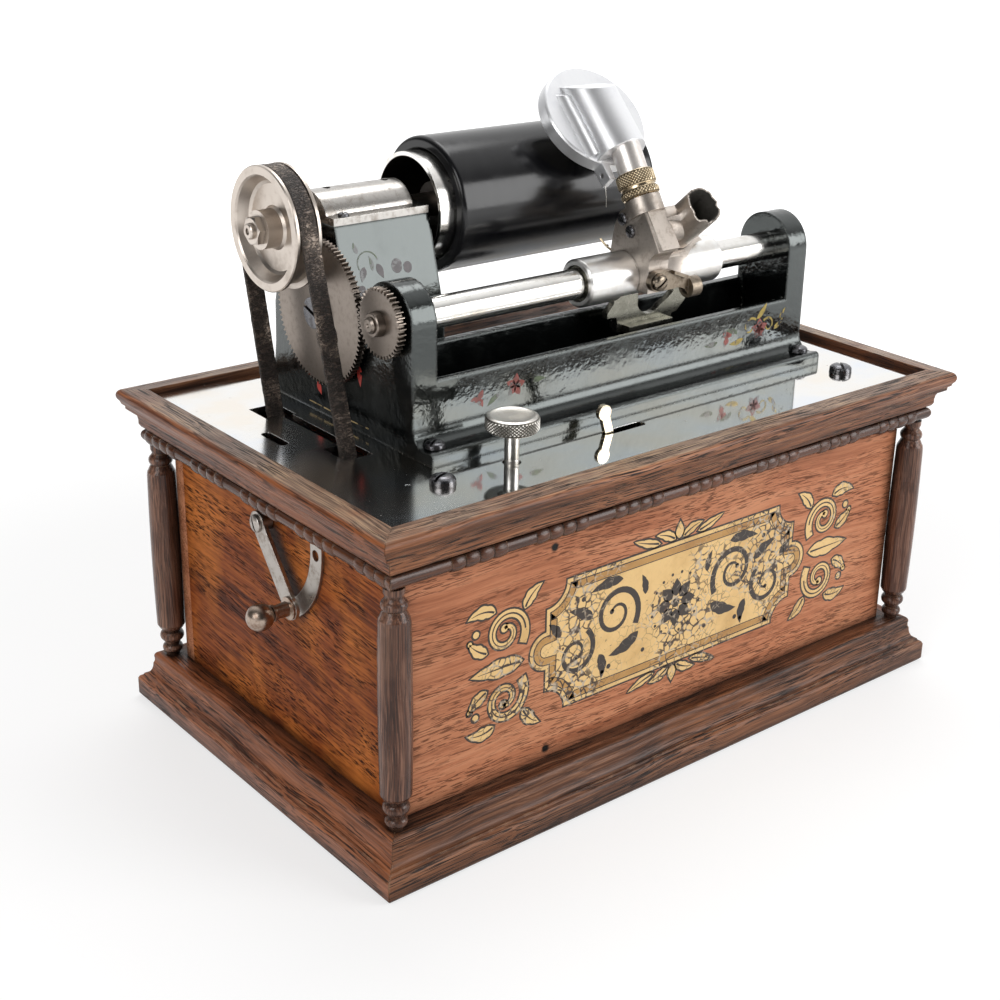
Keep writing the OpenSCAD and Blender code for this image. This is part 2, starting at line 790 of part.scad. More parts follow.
// Sliding bush on the tube, with the half nut and the guide plate in the trough
guide_x0 = head_x - 11.2;
guide_x1 = head_x + 30;
guide_pts = concat([[-8.7, -24.2], [-9.4, -17.8], [-12, -17.4], [-14.6, -17.4], [-14.6, -15], [-11.2, -11.4],
    [-11.2, -6.5], [2.4, -6.5], [2.4, -14.4]],
    arc([9.4, -11], 7.8, 206, 318, 8),
    [[20, -13.5], [22.8, -11.4], [22.8, -6.5], [29, -6.5], [29, -12.6], [31.2, -14.6], [29.4, -16.6], [25.2, -20.4],
    [22.4, -20.8], [22, -24.2]]);
module carriage_bush() {
    color(steel)
        difference() {
            union() {
                xcyl(sleeve_x0 + 1, sleeve_x1 - 1, bush_out, tube_ax);
                translate([head_x, tube_ax[0] + 1.6, tube_ax[1]])
                    rotate([90, 0, 0])
                        linear_extrude(height = 3.2)
                            polygon(guide_pts);
                translate([head_x - 6, tube_ax[0] - 6, tube_ax[1] - 24.2])
                    cube([25, 12, 3]);
            }
            xcyl(sleeve_x0, sleeve_x1, bush_in, tube_ax);
        }
    color(brass)
        translate([head_x + 4, tube_ax[0] - 2.2, tube_ax[1] - bush_in - 0.4])
            cube([12, 4.4, bush_in + 0.4 - screw_r - 0.25]);
}

// Outer sleeve that swings on the bush, open below for the guide plate
module carriage_sleeve() {
    a = sleeve_x0;
    b = sleeve_x1;
    color(nickel)
        difference() {
            xturn([[sleeve_in, a], [sleeve_r - 0.8, a], [sleeve_r, a + 0.8], [sleeve_r, b - 0.8], [sleeve_r - 0.8, b],
                [sleeve_in, b]], tube_ax);
            xprism(guide_x0 - 2, guide_x1 + 2)
                translate(tube_ax)
                    polygon(concat([[0, 0]], arc([0, 0], sleeve_r * 1.6, 220, 288, 4)));
        }
}

// Socket for the horn, as an axis from its foot to its mouth
socket_x = head_x + 19;
socket_dir = 138.5;
socket_len = 22;
socket_r = 8;
socket_foot = tube_ax + [-4, 15.5];

// Moves a child from the socket's own frame, with Z out of its mouth
module at_socket() {
    translate([socket_x, socket_foot[0], socket_foot[1]])
        rotate([socket_dir - 90, 0, 0])
            children();
}

// Moves a child from the reproducer's frame: Y up the slope, Z out of its face
module at_disc() {
    translate(disc_at)
        rotate([disc_tilt, 0, 0])
            children();
}

// Moves a child from the neck's frame, with its axis along Y
module at_neck() {
    at_disc()
        translate(neck_from)
            rotate([neck_lean, 0, 0])
                children();
}

// A bar along -Y from one station to a lower one
module down_bar(y0, y1, r) {
    translate([0, y0, 0])
        rotate([90, 0, 0])
            cylinder(h = y0 - y1, r = r);
}

// Cast arm that carries the reproducer and the horn socket
module carriage_head() {
    color(dull_nickel)
        difference() {
            union() {
                xprism(head_x0, head_x1)
                    translate(tube_ax)
                        polygon(concat([[8.4, 6], [7.6, 12], [6, 20], [3.4, 25.6], [-2.4, 29.8], [-8, 32.8],
                            [-20.6, 13.6]],
                            arc([-22, 6.4], 6.8, 76, 0, 6),
                            [[-15.2, -5], [-9.4, -5], [0, 0]]));
                // Raised strip down the front of the arm
                xprism(head_x0 + 1.2, head_x1)
                    translate(tube_ax)
                        polygon([[-8, 32.8], [-9.4, 31.8], [-21.6, 14.4], [-20.6, 13.6]]);
                at_neck()
                    down_bar(collar_v1, collar_v1 - 7, collar_r - 0.5);
                // Passage along X to the socket
                xcyl(head_x1 - 1, socket_x, 7.4, tube_ax + [-8.5, 20.5]);
                at_socket()
                    cylinder(h = socket_len, r = socket_r);
                // Saddle on the sleeve, swept away below the socket
                difference() {
                    translate([head_x0 + 4, tube_ax[0], tube_ax[1]])
                        rotate([90, 0, 90])
                            rotate([0, 0, 60])
                                rotate_extrude(angle = 118)
                                    translate([sleeve_r - 1, 0])
                                        square([3.6, 34.4]);
                    translate([head_x + 33, tube_ax[0] + 20, tube_ax[1] - 9.5])
                        rotate([90, 0, 0])
                            cylinder(h = 40, r = 20);
                }
            }
            xcyl(head_x0 - 1, sleeve_x1, sleeve_r, tube_ax);
            at_socket()
                translate([0, 0, 5])
                    cylinder(h = socket_len, r = socket_r - 1);
            at_neck()
                down_bar(collar_v1 + 1, collar_v1 - 4, neck_in);
            for (p = head_screw_at)
                xcyl(head_x0 - 1, head_x0 + 6, 1.5, tube_ax + p);
            translate([pivot_at[0], tube_ax[0] - 20, tube_ax[1] + pivot_at[1]])
                rotate([-90, 0, 0])
                    cylinder(h = 14, r = 1.5);
        }
}

head_screw_at = [[1.2, 23], [-3.8, 18.8]];
pivot_at = [head_x - 2.6, 0.4];
pivot_y = tube_ax[0] - 15.4;
module head_screws() {
    color(japan)
        for (p = head_screw_at)
            translate([head_x0, tube_ax[0] + p[0], tube_ax[1] + p[1]])
                rotate([0, -90, 0])
                    rotate([0, 0, 65])
                        screw(2.6, 1.5, 1.4, 5.6);
    color(brass)
        translate([pivot_at[0], pivot_y - 3.2, tube_ax[1] + pivot_at[1]])
            rotate([90, 0, 0]) {
                rotate([0, 0, 35])
                    screw(3.6, 2.6, 2, 3);
                translate([0, 0, -8])
                    cylinder(h = 5.2, r = 1.45);
            }
}

// Small lever with a roller end, turning on the brass screw
lever_pts = concat([[0, 4.2], [3.6, 4.3], [9, 3.4], [15, 1], [19, -0.6], [20.6, -2.4], [21, -5], [20.6, -7.6], [19.2, -9]],
    arc([10.8, -11.6], 7.6, 16, 104, 7),
    [[5.4, -4.2], [0, -4.2]]);
module lift_lever() {
    x = pivot_at[0];
    z = tube_ax[1] + pivot_at[1];
    color(dull_nickel)
        difference() {
            union() {
                translate([x, pivot_y, z])
                    rotate([90, 0, 0])
                        cylinder(h = 2.8, r = 4.2);
                translate([x, pivot_y, z])
                    rotate([90, 0, 0])
                        linear_extrude(height = 2.8)
                            polygon(lever_pts);
                // Ledge along the upper edge
                translate([x + 6, pivot_y - 2.8, z])
                    rotate([90, 0, 0])
                        linear_extrude(height = 2.2)
                            polygon([[1, 4.05], [3, 3.4], [9, 1], [9, -0.6], [3, 1.8], [1, 2.6]]);
                xcyl(x + 17.5, x + 23, 4.4, [pivot_y - 1.4, z - 5.2]);
            }
            translate([x, pivot_y + 1, z])
                rotate([90, 0, 0])
                    cylinder(h = 6, r = 2 + run_gap);
            xcyl(x + 16, x + 26, 1.5, [pivot_y - 1.4, z - 5.2]);
        }
}

// Aluminium reproducer: disc, raised air channel with a sloped end, and a drilled lug
ring_in = disc_r - 6.4;
module reproducer_body() {
    color([0.85, 0.86, 0.88])
        difference() {
            union() {
                at_disc() {
                    rotate_extrude()
                        polygon([[0, -disc_t], [disc_r - 0.5, -disc_t], [disc_r, -disc_t + 0.5], [disc_r, -0.8],
                            [disc_r - 0.7, 0], [0, 0]]);
                    difference() {
                        translate([0, 0, channel_up])
                            down_bar(16, -21, channel_r);
                        translate([-15, -30, -20])
                            cube([30, 60, 19]);
                        // Sloped upper end
                        translate([-15, 14.9, 0])
                            rotate([38, 0, 0])
                                cube([30, 30, 30]);
                        translate([-15, 14.9, -5])
                            cube([30, 30, 30]);
                    }
                    translate([-9.4, -30, -disc_t])
                        cube([3, 14, disc_t - 0.4]);
                }
            }
            at_neck()
                down_bar(4, -10, neck_r);
            at_disc() {
                // Air passage from the neck to the diaphragm
                translate([0, 0, 3.4])
                    down_bar(5, -20, 4.4);
                translate([0, 0, -4])
                    cylinder(h = 7, r = 4);
                translate([0, 0, -disc_t - 1])
                    cylinder(h = disc_t - 1.6, r = disc_r - 3.4);
                translate([-12, -26.2, -3.8])
                    rotate([0, 90, 0])
                        cylinder(h = 8, r = 1.1);
            }
        }
}

module diaphragm() {
    color([0.8, 0.78, 0.7])
        at_disc()
            translate([0, 0, -4])
                cylinder(h = 0.4, r = disc_r - 3.4);
}

// Ring and gasket that hold the diaphragm
module retaining_ring() {
    color(steel)
        at_disc() {
            difference() {
                translate([0, 0, -disc_t])
                    cylinder(h = disc_t - 4, r = disc_r - 3.4);
                translate([0, 0, -disc_t - 1])
                    cylinder(h = disc_t, r = ring_in);
            }
            difference() {
                translate([0, 0, -3.6])
                    cylinder(h = 1, r = disc_r - 3.4);
                translate([0, 0, -4])
                    cylinder(h = 2, r = ring_in);
            }
        }
}

// Stylus bar, its link to the diaphragm and the stylus above the record
record_local_y = (mandrel_ax[0] - disc_at[1]) * cos(disc_tilt) + (mandrel_ax[1] - disc_at[2]) * sin(disc_tilt);
record_local_z = (mandrel_ax[1] - disc_at[2]) * cos(disc_tilt) - (mandrel_ax[0] - disc_at[1]) * sin(disc_tilt);
tip_z = record_local_z + record_d / 2 + free_gap;
module stylus_lever() {
    y = record_local_y;
    color(steel)
        at_disc() {
            translate([-1.6, ring_in - disc_r - 14, -disc_t - 2])
                cube([3.2, 24, 1.7]);
            translate([-1.6, -ring_in - 2.6, -disc_t - 0.4])
                cube([3.2, 2.4, 0.4]);
            translate([0, 0, -disc_t - 1])
                cylinder(h = disc_t - 4 + 1, r = 0.7);
            translate([0, y, tip_z + 1.2])
                cylinder(h = -disc_t - 1 - tip_z - 1.2, r = 1.1);
            translate([0, y, tip_z])
                cylinder(h = 1.3, r1 = 0.3, r2 = 1.1);
        }
}

module reproducer_neck() {
    color(nickel)
        at_neck()
            difference() {
                down_bar(4, collar_v1, neck_r);
                down_bar(5, collar_v1 - 1, neck_in);
            }
}

// Split brass collar that clamps the neck, with its tightening screw
module clamp_collar() {
    r = collar_r;
    n = 48;
    mid = collar_v0 - 6;
    color(brass)
        at_neck() {
            difference() {
                union() {
                    for (v = [[collar_v0, mid], [mid - 1.2, collar_v1]])
                        translate([0, v[0], 0])
                            rotate([90, 0, 0])
                                linear_extrude(height = v[0] - v[1])
                                    polygon([for (i = [0:2 * n - 1]) (r - 0.25 * (i % 2)) *
                                        [cos(i * 180 / n), sin(i * 180 / n)]]);
                    down_bar(mid, mid - 1.2, r - 0.8);
                }
                down_bar(collar_v0 + 1, collar_v1 - 1, neck_r);
                translate([0, mid - 0.6, 0])
                    rotate([0, 90, 0])
                        cylinder(h = 20, r = 1.3);
            }
            translate([r, mid - 0.6, 0])
                rotate([0, 90, 0])
                    screw(2.2, 1.6, 1.2, 1.5);
        }
}

// Endless leather belt round the mandrel pulley and the drive pulley
module drive_belt() {
    ra = groove_r + free_gap;
    rb = drive_groove_r + free_gap;
    dist = norm(drive_ax - mandrel_ax);
    way = bearing(mandrel_ax, drive_ax);
    lean = asin((rb - ra) / dist);
    n = 24;
    color(leather)
        xprism(belt_x - belt_w / 2, belt_x + belt_w / 2)
            difference() {
                polygon(concat(arc(mandrel_ax, ra + belt_t, way + 90 + lean, way + 270 - lean, n),
                    arc(drive_ax, rb + belt_t, way - 90 - lean, way + 90 + lean, n)));
                polygon(concat(arc(mandrel_ax, ra / cos(2), way + 90 + lean, way + 270 - lean, n * 2),
                    arc(drive_ax, rb / cos(2), way - 90 - lean, way + 90 + lean, n * 2)));
            }
}

// Knurled speed screw standing in the bedplate
module speed_screw() {
    r = thumb_d / 2;
    n = 40;
    color(nickel)
        translate([thumb_at[0], thumb_at[1], 0]) {
            translate([0, 0, plate_z + 14.6])
                linear_extrude(height = 4)
                    polygon([for (i = [0:2 * n - 1]) (r - 0.35 * (i % 2)) * [cos(i * 180 / n), sin(i * 180 / n)]]);
            translate([0, 0, plate_z + 18.6])
                cylinder(h = 0.4, r1 = r - 0.2, r2 = r - 0.8);
            translate([0, 0, plate_z + 12.6])
                cylinder(h = 2, r1 = 3.6, r2 = 5);
            translate([0, 0, plate_z - 27])
                cylinder(h = 40, r = 2.9);
            translate([0, 0, plate_z - 30])
                cylinder(h = 3, r1 = 1, r2 = 2.9);
        }
}

// Start and stop lever: a flat arm on a pivot under the plate
module start_lever() {
    color(brass)
        translate([start_at[0], start_at[1], start_pivot_z])
            rotate([0, -start_lean, 0])
                difference() {
                    union() {
                        translate([0, 1, 0])
                            rotate([90, 0, 0])
                                cylinder(h = 2, r = 5);
                        translate([-2, -1, 0])
                            cube([4, 2, 36]);
                        translate([0, 1, 37.5])
                            rotate([90, 0, 0])
                                cylinder(h = 2, r = 3.2);
                    }
                    translate([0, 5, 0])
                        rotate([90, 0, 0])
                            cylinder(h = 10, r = 2 + run_gap);
                }
}

// Hanger under the plate with the pivot of the start lever
module lever_bracket() {
    color(steel)
        translate([start_at[0], start_at[1], 0]) {
            translate([-6, -6, start_pivot_z - 6])
                cube([12, 3, plate_under - start_pivot_z + 6]);
            translate([0, -3, start_pivot_z])
                rotate([-90, 0, 0])
                    cylinder(h = 5, r = 2);
        }
}

function lever_dir(a) = [cos(a), sin(a)];

// Curved strip on the left panel under the side lever
strip_t = 1.3;
module quadrant_strip() {
    r0 = lever_r - 3.4;
    r1 = lever_r + 4;
    a0 = lever_end - 7;
    a1 = lever_rest + 8;
    color(steel)
        difference() {
            xprism(-panel_x - strip_t, -panel_x)
                polygon([for (p = concat(arc([0, 0], r1, a0, a1, 14), arc([0, 0], r0, a1, a0, 14))) lever_at + p]);
            xcyl(-panel_x - 3, -panel_x + 1, 2.2, lever_at + lever_r * lever_dir(lever_end));
        }
}

// Side lever, standing off the panel on its screw
arm_t = 1.6;
arm_x0 = -panel_x - 5.2;
module side_lever() {
    color(steel)
        difference() {
            union() {
                xprism(arm_x0, arm_x0 + arm_t)
                    translate(lever_at)
                        rotate([0, 0, lever_rest])
                            union() {
                                circle(r = 4.8);
                                translate([0, -4.2])
                                    square([lever_r, 8.4]);
                                translate([lever_r, 0])
                                    circle(r = 4.8);
                            }
                xcyl(arm_x0 + arm_t, -panel_x - 0.2, 3.6, lever_at);
            }
            xcyl(arm_x0 - 1, -panel_x + 1, 1.7 + run_gap, lever_at);
            xcyl(arm_x0 - 1, arm_x0 + 3, 1.6, lever_at + lever_r * lever_dir(lever_rest));
        }
}

// Collared spindle and ball of the side lever
module side_knob() {
    r = knob_d / 2;
    ax = lever_at + lever_r * lever_dir(lever_rest);
    far = arm_x0 - 9;
    color(dull_nickel) {
        xturn([[0, arm_x0 + 1.6], [1.6, arm_x0 + 1.6], [1.6, arm_x0], [4.6, arm_x0], [4.6, arm_x0 - 0.9],
            [3, arm_x0 - 1.3], [2.7, far + 2.6], [3.3, far + 2.1], [3.3, far + 1.1], [2.6, far + 0.8],
            [2.6, far - 2], [0, far - 2]], ax);
        translate([far - r + 1.6, ax[0], ax[1]])
            rotate([0, 90, 0])
                sphere(r = r);
    }
}

// Pivot screw of the side lever
module lever_screws() {
    color(steel)
        translate([arm_x0 - 0.1, lever_at[0], lever_at[1]])
            rotate([0, -90, 0])
                rotate([0, 0, 25]) {
                    screw(3.6, 1.7, 1.7, 5.1);
                    translate([0, 0, -10.4])
                        cylinder(h = 5.4, r = 1.55);
                }
}

// The motor hangs from the bedplate between two plates
module motor_plate() {
    difference() {
        translate([0, motor_y0, motor_z0])
            cube([motor_t, motor_y1 - motor_y0, plate_under - motor_z0]);
        for (ax = [drive_ax, mid_ax, gov_ax])
            xcyl(-1, motor_t + 1, arbor_r + run_gap, ax);
        xcyl(-1, motor_t + 1, wind_r + run_gap, barrel_ax);
        for (p = pillar_at)
            xcyl(-1, motor_t + 1, 2, p);
        // Large relief so that the plate is a frame
        translate([-1, motor_y0 + 12, motor_z0 + 6])
            cube([motor_t + 2, 24, 24]);
        translate([-1, motor_y1 - 24, plate_under - 32.1])
            cube([motor_t + 2, 16, 22]);
    }
}

pillar_at = [[motor_y0 + 5, motor_z0 + 5], [motor_y1 - 5, motor_z0 + 5], [motor_y0 + 5, plate_under - 10.1],
    [motor_y1 - 5, plate_under - 38.1]];
module motor_plates() {
    color(steel)
        for (x = [motor_x0, motor_x1 - motor_t])
            translate([x, 0, 0])
                motor_plate();
}

module motor_pillars() {
    color(brass)
        for (p = pillar_at) {
            xcyl(motor_x0 + motor_t, motor_x1 - motor_t, 4, p);
            xcyl(motor_x0 - 2, motor_x0 + motor_t, 2, p);
            xcyl(motor_x1 - motor_t, motor_x1 + 2, 2, p);
        }
}

// Spring barrel with the great wheel on its rim
module spring_barrel() {
    a = barrel_x0;
    b = barrel_x1;
    color(brass)
        difference() {
            union() {
                xturn([[wind_r + run_gap, a], [barrel_r, a], [barrel_r, b], [wind_r + run_gap, b],
                    [wind_r + run_gap, b - 2], [barrel_r - 1.5, b - 2], [barrel_r - 1.5, a + 2],
                    [wind_r + run_gap, a + 2]], barrel_ax);
                xprism(a - 3.5, a)
                    translate(barrel_ax)
                        polygon(gear_pts(great_n, great_m, great_ph));
            }
            xcyl(a - 5, a + 1, wind_r + run_gap, barrel_ax);
        }
}

// Wound strip and the winding arbor it is hooked to
spring_turns = 8;
spring_t = 0.7;
spring_step = (barrel_r - 3 - wind_r) / spring_turns;
function spiral(r, a) = (r + spring_step * a / 360) * [cos(a), sin(a)];
module mainspring() {
    n = 24 * spring_turns;
    a = barrel_x0 + 4;
    b = barrel_x1 - 4;
    echo(spring_gap = spring_step - spring_t);
    color(steel) {
        xcyl(motor_x0 - 3, panel_x - 0.4, wind_r, barrel_ax);
        xprism(a, b)
            translate(barrel_ax)
                polygon(concat([for (i = [0:n]) spiral(wind_r - 0.4, i * 360 / 24)],
                    [for (i = [n:-1:0]) spiral(wind_r - 0.4 + spring_t, i * 360 / 24)]));
    }
}

// Second arbor: a wheel and a pinion
module mid_wheel() {
    color(brass) {
        xcyl(motor_x0 - 1, motor_x1 + 1, arbor_r, mid_ax);
        xprism(motor_x0 + 14, motor_x0 + 16.4)
            translate(mid_ax)
                polygon(gear_pts(mid_n, wheel_m, mid_ph));
        xprism(motor_x0 + 22, motor_x0 + 30)
            translate(mid_ax)
                polygon(gear_pts(small_n, great_m, mid_pinion_ph));
    }
}

// Drive arbor: pinion, fast wheel and the pulley that drives the belt
module drive_arbor() {
    a = pulley_x0;
    b = pulley_x1;
    r = drive_groove_r;
    color(steel) {
        xcyl(a - 2, motor_x1 + 1, arbor_r, drive_ax);
        xprism(motor_x0 + 12, motor_x0 + 18)
            translate(drive_ax)
                polygon(gear_pts(small_n, wheel_m, drive_ph));
        xprism(motor_x0 + 6, motor_x0 + 8.2)
            translate(drive_ax)
                polygon(gear_pts(mid_n, gov_m, fast_ph));
        difference() {
            xturn([[arbor_r - 0.2, a], [7, a], [7, a + 3], [r - 3, a + 3], [r - 2, a], [r + 2, a], [r + 2, a + 1.6],
                [r, a + 1.9], [r, b - 1.9], [r + 2, b - 1.6], [r + 2, b], [r - 2, b], [r - 3, b - 3], [7, b - 3],
                [7, b], [arbor_r - 0.2, b]], drive_ax);
            for (i = [0:3])
                translate([0, drive_ax[0], drive_ax[1]])
                    rotate([i * 90 + 45, 0, 0])
                        translate([0, 14.5, 0])
                            xcyl(a, b, 4.5);
        }
    }
}

// Governor: spindle, two collars, three leaf springs with weights and a friction disc
module governor() {
    color(brass) {
        xcyl(motor_x0 - 1, motor_x1 + 1, arbor_r - 0.6, gov_ax);
        for (x = [[motor_x0 - 1, motor_x0 + 3.5], [motor_x1 - 3.5, motor_x1 + 1]])
            xcyl(x[0], x[1], arbor_r, gov_ax);
        xprism(motor_x0 + 5, motor_x0 + 9)
            translate(gov_ax)
                polygon(gear_pts(gov_n, gov_m, gov_ph));
        for (x = [motor_x0 + 22, motor_x0 + 70])
            xcyl(x, x + 4, 5, gov_ax);
        xcyl(motor_x0 + 76, motor_x0 + 78, 11, gov_ax);
        for (i = [0:2])
            translate([0, gov_ax[0], gov_ax[1]])
                rotate([i * 120 + 30, 0, 0]) {
                    translate([motor_x0 + 22, 4, -2])
                        rotate([0, 0, 12])
                            cube([26, 0.6, 4]);
                    translate([motor_x0 + 74, 4, -2])
                        rotate([0, 0, 168])
                            translate([0, -0.6, 0])
                                cube([26, 0.6, 4]);
                    translate([motor_x0 + 48, 7, 0])
                        rotate([-90, 0, 0])
                            cylinder(h = 6, r = 4.4);
                }
    }
}

base_front();
base_back();
base_left();
base_right();
bottom_board();
panel_front();
panel_back();
panel_left();
panel_right();
columns();
bead_front();
bead_back();
bead_left();
bead_right();
frame_front();
frame_back();
frame_left();
frame_right();
bedplate();
bedplate_screws();
bed_casting();
casting_screws();
bearing_cap();
bearing_bush();
mandrel_shaft();
mandrel();
record_cylinder();
mandrel_pulley();
pulley_nut();
idler_gear();
idler_stud();
feed_gear();
feed_screw();
feed_tube();
carriage_bush();
carriage_sleeve();
carriage_head();
head_screws();
lift_lever();
reproducer_body();
diaphragm();
retaining_ring();
stylus_lever();
reproducer_neck();
clamp_collar();
drive_belt();
speed_screw();
start_lever();
lever_bracket();
side_lever();
side_knob();
lever_screws();
quadrant_strip();
motor_plates();
motor_pillars();
spring_barrel();
mainspring();
mid_wheel();
drive_arbor();
governor();
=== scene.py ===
from math import asin, atan2, cos, degrees, pi, radians, sin, sqrt, tau
import bpy
import bmesh
from bmesh.types import BMEdge, BMFace, BMVert
from mathutils import Matrix, Vector, noise


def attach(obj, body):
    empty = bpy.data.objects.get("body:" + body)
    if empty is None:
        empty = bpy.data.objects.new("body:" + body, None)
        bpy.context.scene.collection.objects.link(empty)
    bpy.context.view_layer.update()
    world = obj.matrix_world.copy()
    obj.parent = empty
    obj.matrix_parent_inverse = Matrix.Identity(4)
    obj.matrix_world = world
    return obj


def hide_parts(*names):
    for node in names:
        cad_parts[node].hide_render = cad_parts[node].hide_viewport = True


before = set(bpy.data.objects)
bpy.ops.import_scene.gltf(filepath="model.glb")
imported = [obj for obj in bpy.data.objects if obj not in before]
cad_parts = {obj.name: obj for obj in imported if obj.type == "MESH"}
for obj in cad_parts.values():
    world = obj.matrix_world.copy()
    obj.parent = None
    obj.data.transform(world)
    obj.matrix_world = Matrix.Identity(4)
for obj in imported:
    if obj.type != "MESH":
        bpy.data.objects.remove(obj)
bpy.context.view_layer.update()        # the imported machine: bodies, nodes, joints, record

mm = 0.001
scene = bpy.context.scene
scene.view_settings.view_transform = 'Standard'
print('frame loaded:', len(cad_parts), 'nodes')

# camera at the photograph's place, image taken as 1000 x 1000
cameraView = {
    'place': (-0.43308, -0.50441, 0.36945), 'turn': (67.9576, -1.5773, -40.1934), 'lens': 59.37,
    'shift': (-0.0538, -0.0269), 'sensor': 36, 'near': 0.01,
}


def makeCamera():
    data = bpy.data.cameras.new('photoCamera')
    data.sensor_fit = 'HORIZONTAL'
    data.sensor_width = cameraView['sensor']
    data.lens = cameraView['lens']
    data.shift_x, data.shift_y = cameraView['shift']
    data.clip_start = cameraView['near']
    eye = bpy.data.objects.new('photoCamera', data)
    scene.collection.objects.link(eye)
    eye.location = cameraView['place']
    eye.rotation_euler = [radians(a) for a in cameraView['turn']]
    scene.camera = eye


makeCamera()


class Wire:
    # one shader socket, so that maths on it reads as an expression
    def __init__(self, tree, socket=None):
        self.tree = tree
        self.socket = socket

    def add(self, kind, settings=None, sockets=None, out=0):
        node = self.tree.nodes.new('ShaderNode' + kind)
        for key, value in (settings or {}).items():
            if key == 'stops':
                setStops(node.color_ramp, value)
            else:
                setattr(node, key, value)
        for key, value in (sockets or {}).items():
            plug(self.tree, node.inputs[key], value)
        return Wire(self.tree, node.outputs[out])

    def calc(self, operation, *values):
        return self.add('Math', {'operation': operation}, dict(enumerate(values)))

    def __add__(self, other):
        return self.calc('ADD', self, other)

    def __sub__(self, other):
        return self.calc('SUBTRACT', self, other)

    def __rsub__(self, other):
        return self.calc('SUBTRACT', other, self)

    def __mul__(self, other):
        return self.calc('MULTIPLY', self, other)

    def __pow__(self, other):
        return self.calc('POWER', self, other)

    __radd__ = __add__
    __rmul__ = __mul__


def plug(tree, socket, value):
    if isinstance(value, Wire):
        tree.links.new(value.socket, socket)
    elif hasattr(socket.default_value, '__len__') and len(socket.default_value) == 4 and len(value) == 3:
        socket.default_value = (*value, 1)
    else:
        socket.default_value = value


def setStops(bar, stops):
    while len(bar.elements) < len(stops):
        bar.elements.new(0.5)
    for element, (place, colour) in zip(bar.elements, stops):
        element.position = place
        element.color = (*colour, 1) if hasattr(colour, '__len__') else (colour, colour, colour, 1)


def newFinish(name):
    finish = bpy.data.materials.new(name)
    finish.use_nodes = True
    wire = Wire(finish.node_tree)
    return finish, wire, wire.add('TexCoord', out='Object')


def feed(shader, values):
    for key, value in values.items():
        plug(shader.id_data, shader.inputs[key], value)


def coated(finish, colour, rough, more):  # the finish, with its shader's sockets filled
    feed(finish.node_tree.nodes['Principled BSDF'], {'Base Color': colour, 'Roughness': rough, **more})
    return finish


def ease(value, low, high, start=0, end=1):  # smooth step between two levels
    return value.add('MapRange', {'interpolation_type': 'SMOOTHSTEP'},
                     {'Value': value, 'From Min': low, 'From Max': high, 'To Min': start, 'To Max': end})


def grit(place, size, detail=3, rough=0.55, warp=0):  # noise, size in cells per metre
    return place.add('TexNoise', None, {'Vector': place, 'Scale': size, 'Detail': detail, 'Roughness': rough,
                                        'Distortion': warp}, 'Fac')


def stretch(place, scale=(1, 1, 1), turn=(0, 0, 0), move=(0, 0, 0)):
    return place.add('Mapping', None, {'Vector': place, 'Scale': scale, 'Location': move,
                                       'Rotation': [radians(a) for a in turn]})


def streaks(place, scale, detail, rough=0.55, warp=0, **way):  # noise with its own cells per metre along each axis
    return grit(stretch(place, scale, **way), 1, detail, rough, warp)


def tint(share, first, second, mode='MIX'):
    return share.add('Mix', {'data_type': 'RGBA', 'blend_type': mode}, {0: share, 6: first, 7: second}, 2)


def ramp(value, stops):
    return value.add('ValToRGB', {'stops': stops}, {'Fac': value}, 'Color')


def axes(place):
    return [place.add('SeparateXYZ', None, {0: place}, k) for k in range(3)]


def bumped(height, strength, depth, normal=None):
    sockets = {'Strength': strength, 'Distance': depth, 'Height': height}
    if normal:
        sockets['Normal'] = normal
    return height.add('Bump', None, sockets)


def softEdge(wire, radius):  # rounded edges for solids whose edges are sharp
    return wire.add('Bevel', {'samples': 4}, {'Radius': radius}, 'Normal')


def vec(operation, *values, out=0):  # vector maths, the first value a wire
    return values[0].add('VectorMath', {'operation': operation}, dict(enumerate(values)), out)


def edgeMask(wire, radius, low=0.995, high=0.86):  # 1 along worn edges
    flat = wire.add('NewGeometry', out='Normal')
    return ease(vec('DOT_PRODUCT', softEdge(wire, radius), flat, out='Value'), low, high)


def reachFrom(place, foot, way):  # distance from an axis
    return vec('LENGTH', vec('CROSS_PRODUCT', vec('SUBTRACT', place, foot), way), out='Value')


def boreMask(place, foot, way, radius, start=-1):  # 1 inside a round bore, past a station along it
    soft, rise = 0.15 * mm, 1.5 * mm
    along = vec('DOT_PRODUCT', vec('SUBTRACT', place, foot), way, out='Value')
    return ease(reachFrom(place, foot, way), radius + soft, radius - soft) * ease(along, start, start + rise)


def upMask(wire, low=0.7, high=0.95):  # 1 on faces that look up
    flat = wire.add('NewGeometry', out='Normal')
    return ease(axes(flat)[2], low, high)


# the studio: white room, soft boxes, pale floor
studio = {
    'fill': 0.4, 'roomDark': 0.035, 'roomBright': 1.1,
    'floorSize': 16, 'floorDrop': 0.0002, 'floorBase': 0.42, 'floorGlow': 0.62, 'floorFar': 0.6,
    'boxes': [
        ('frontBox', (0.9, -1.2, 0.6), 1, 13.5),
        ('leftBox', (-1.5, -0.45, 0.95), 1, 11),
        ('topBox', (0.45, 0.5, 1.6), 1, 9),
    ],
    'aim': (0, 0, 0.12),
}


def raySeen(wire):
    seen = wire.add('LightPath', out='Is Camera Ray')
    for ray in ('Is Glossy Ray', 'Is Transmission Ray'):
        seen = seen.calc('MAXIMUM', seen, wire.add('LightPath', out=ray))
    return seen


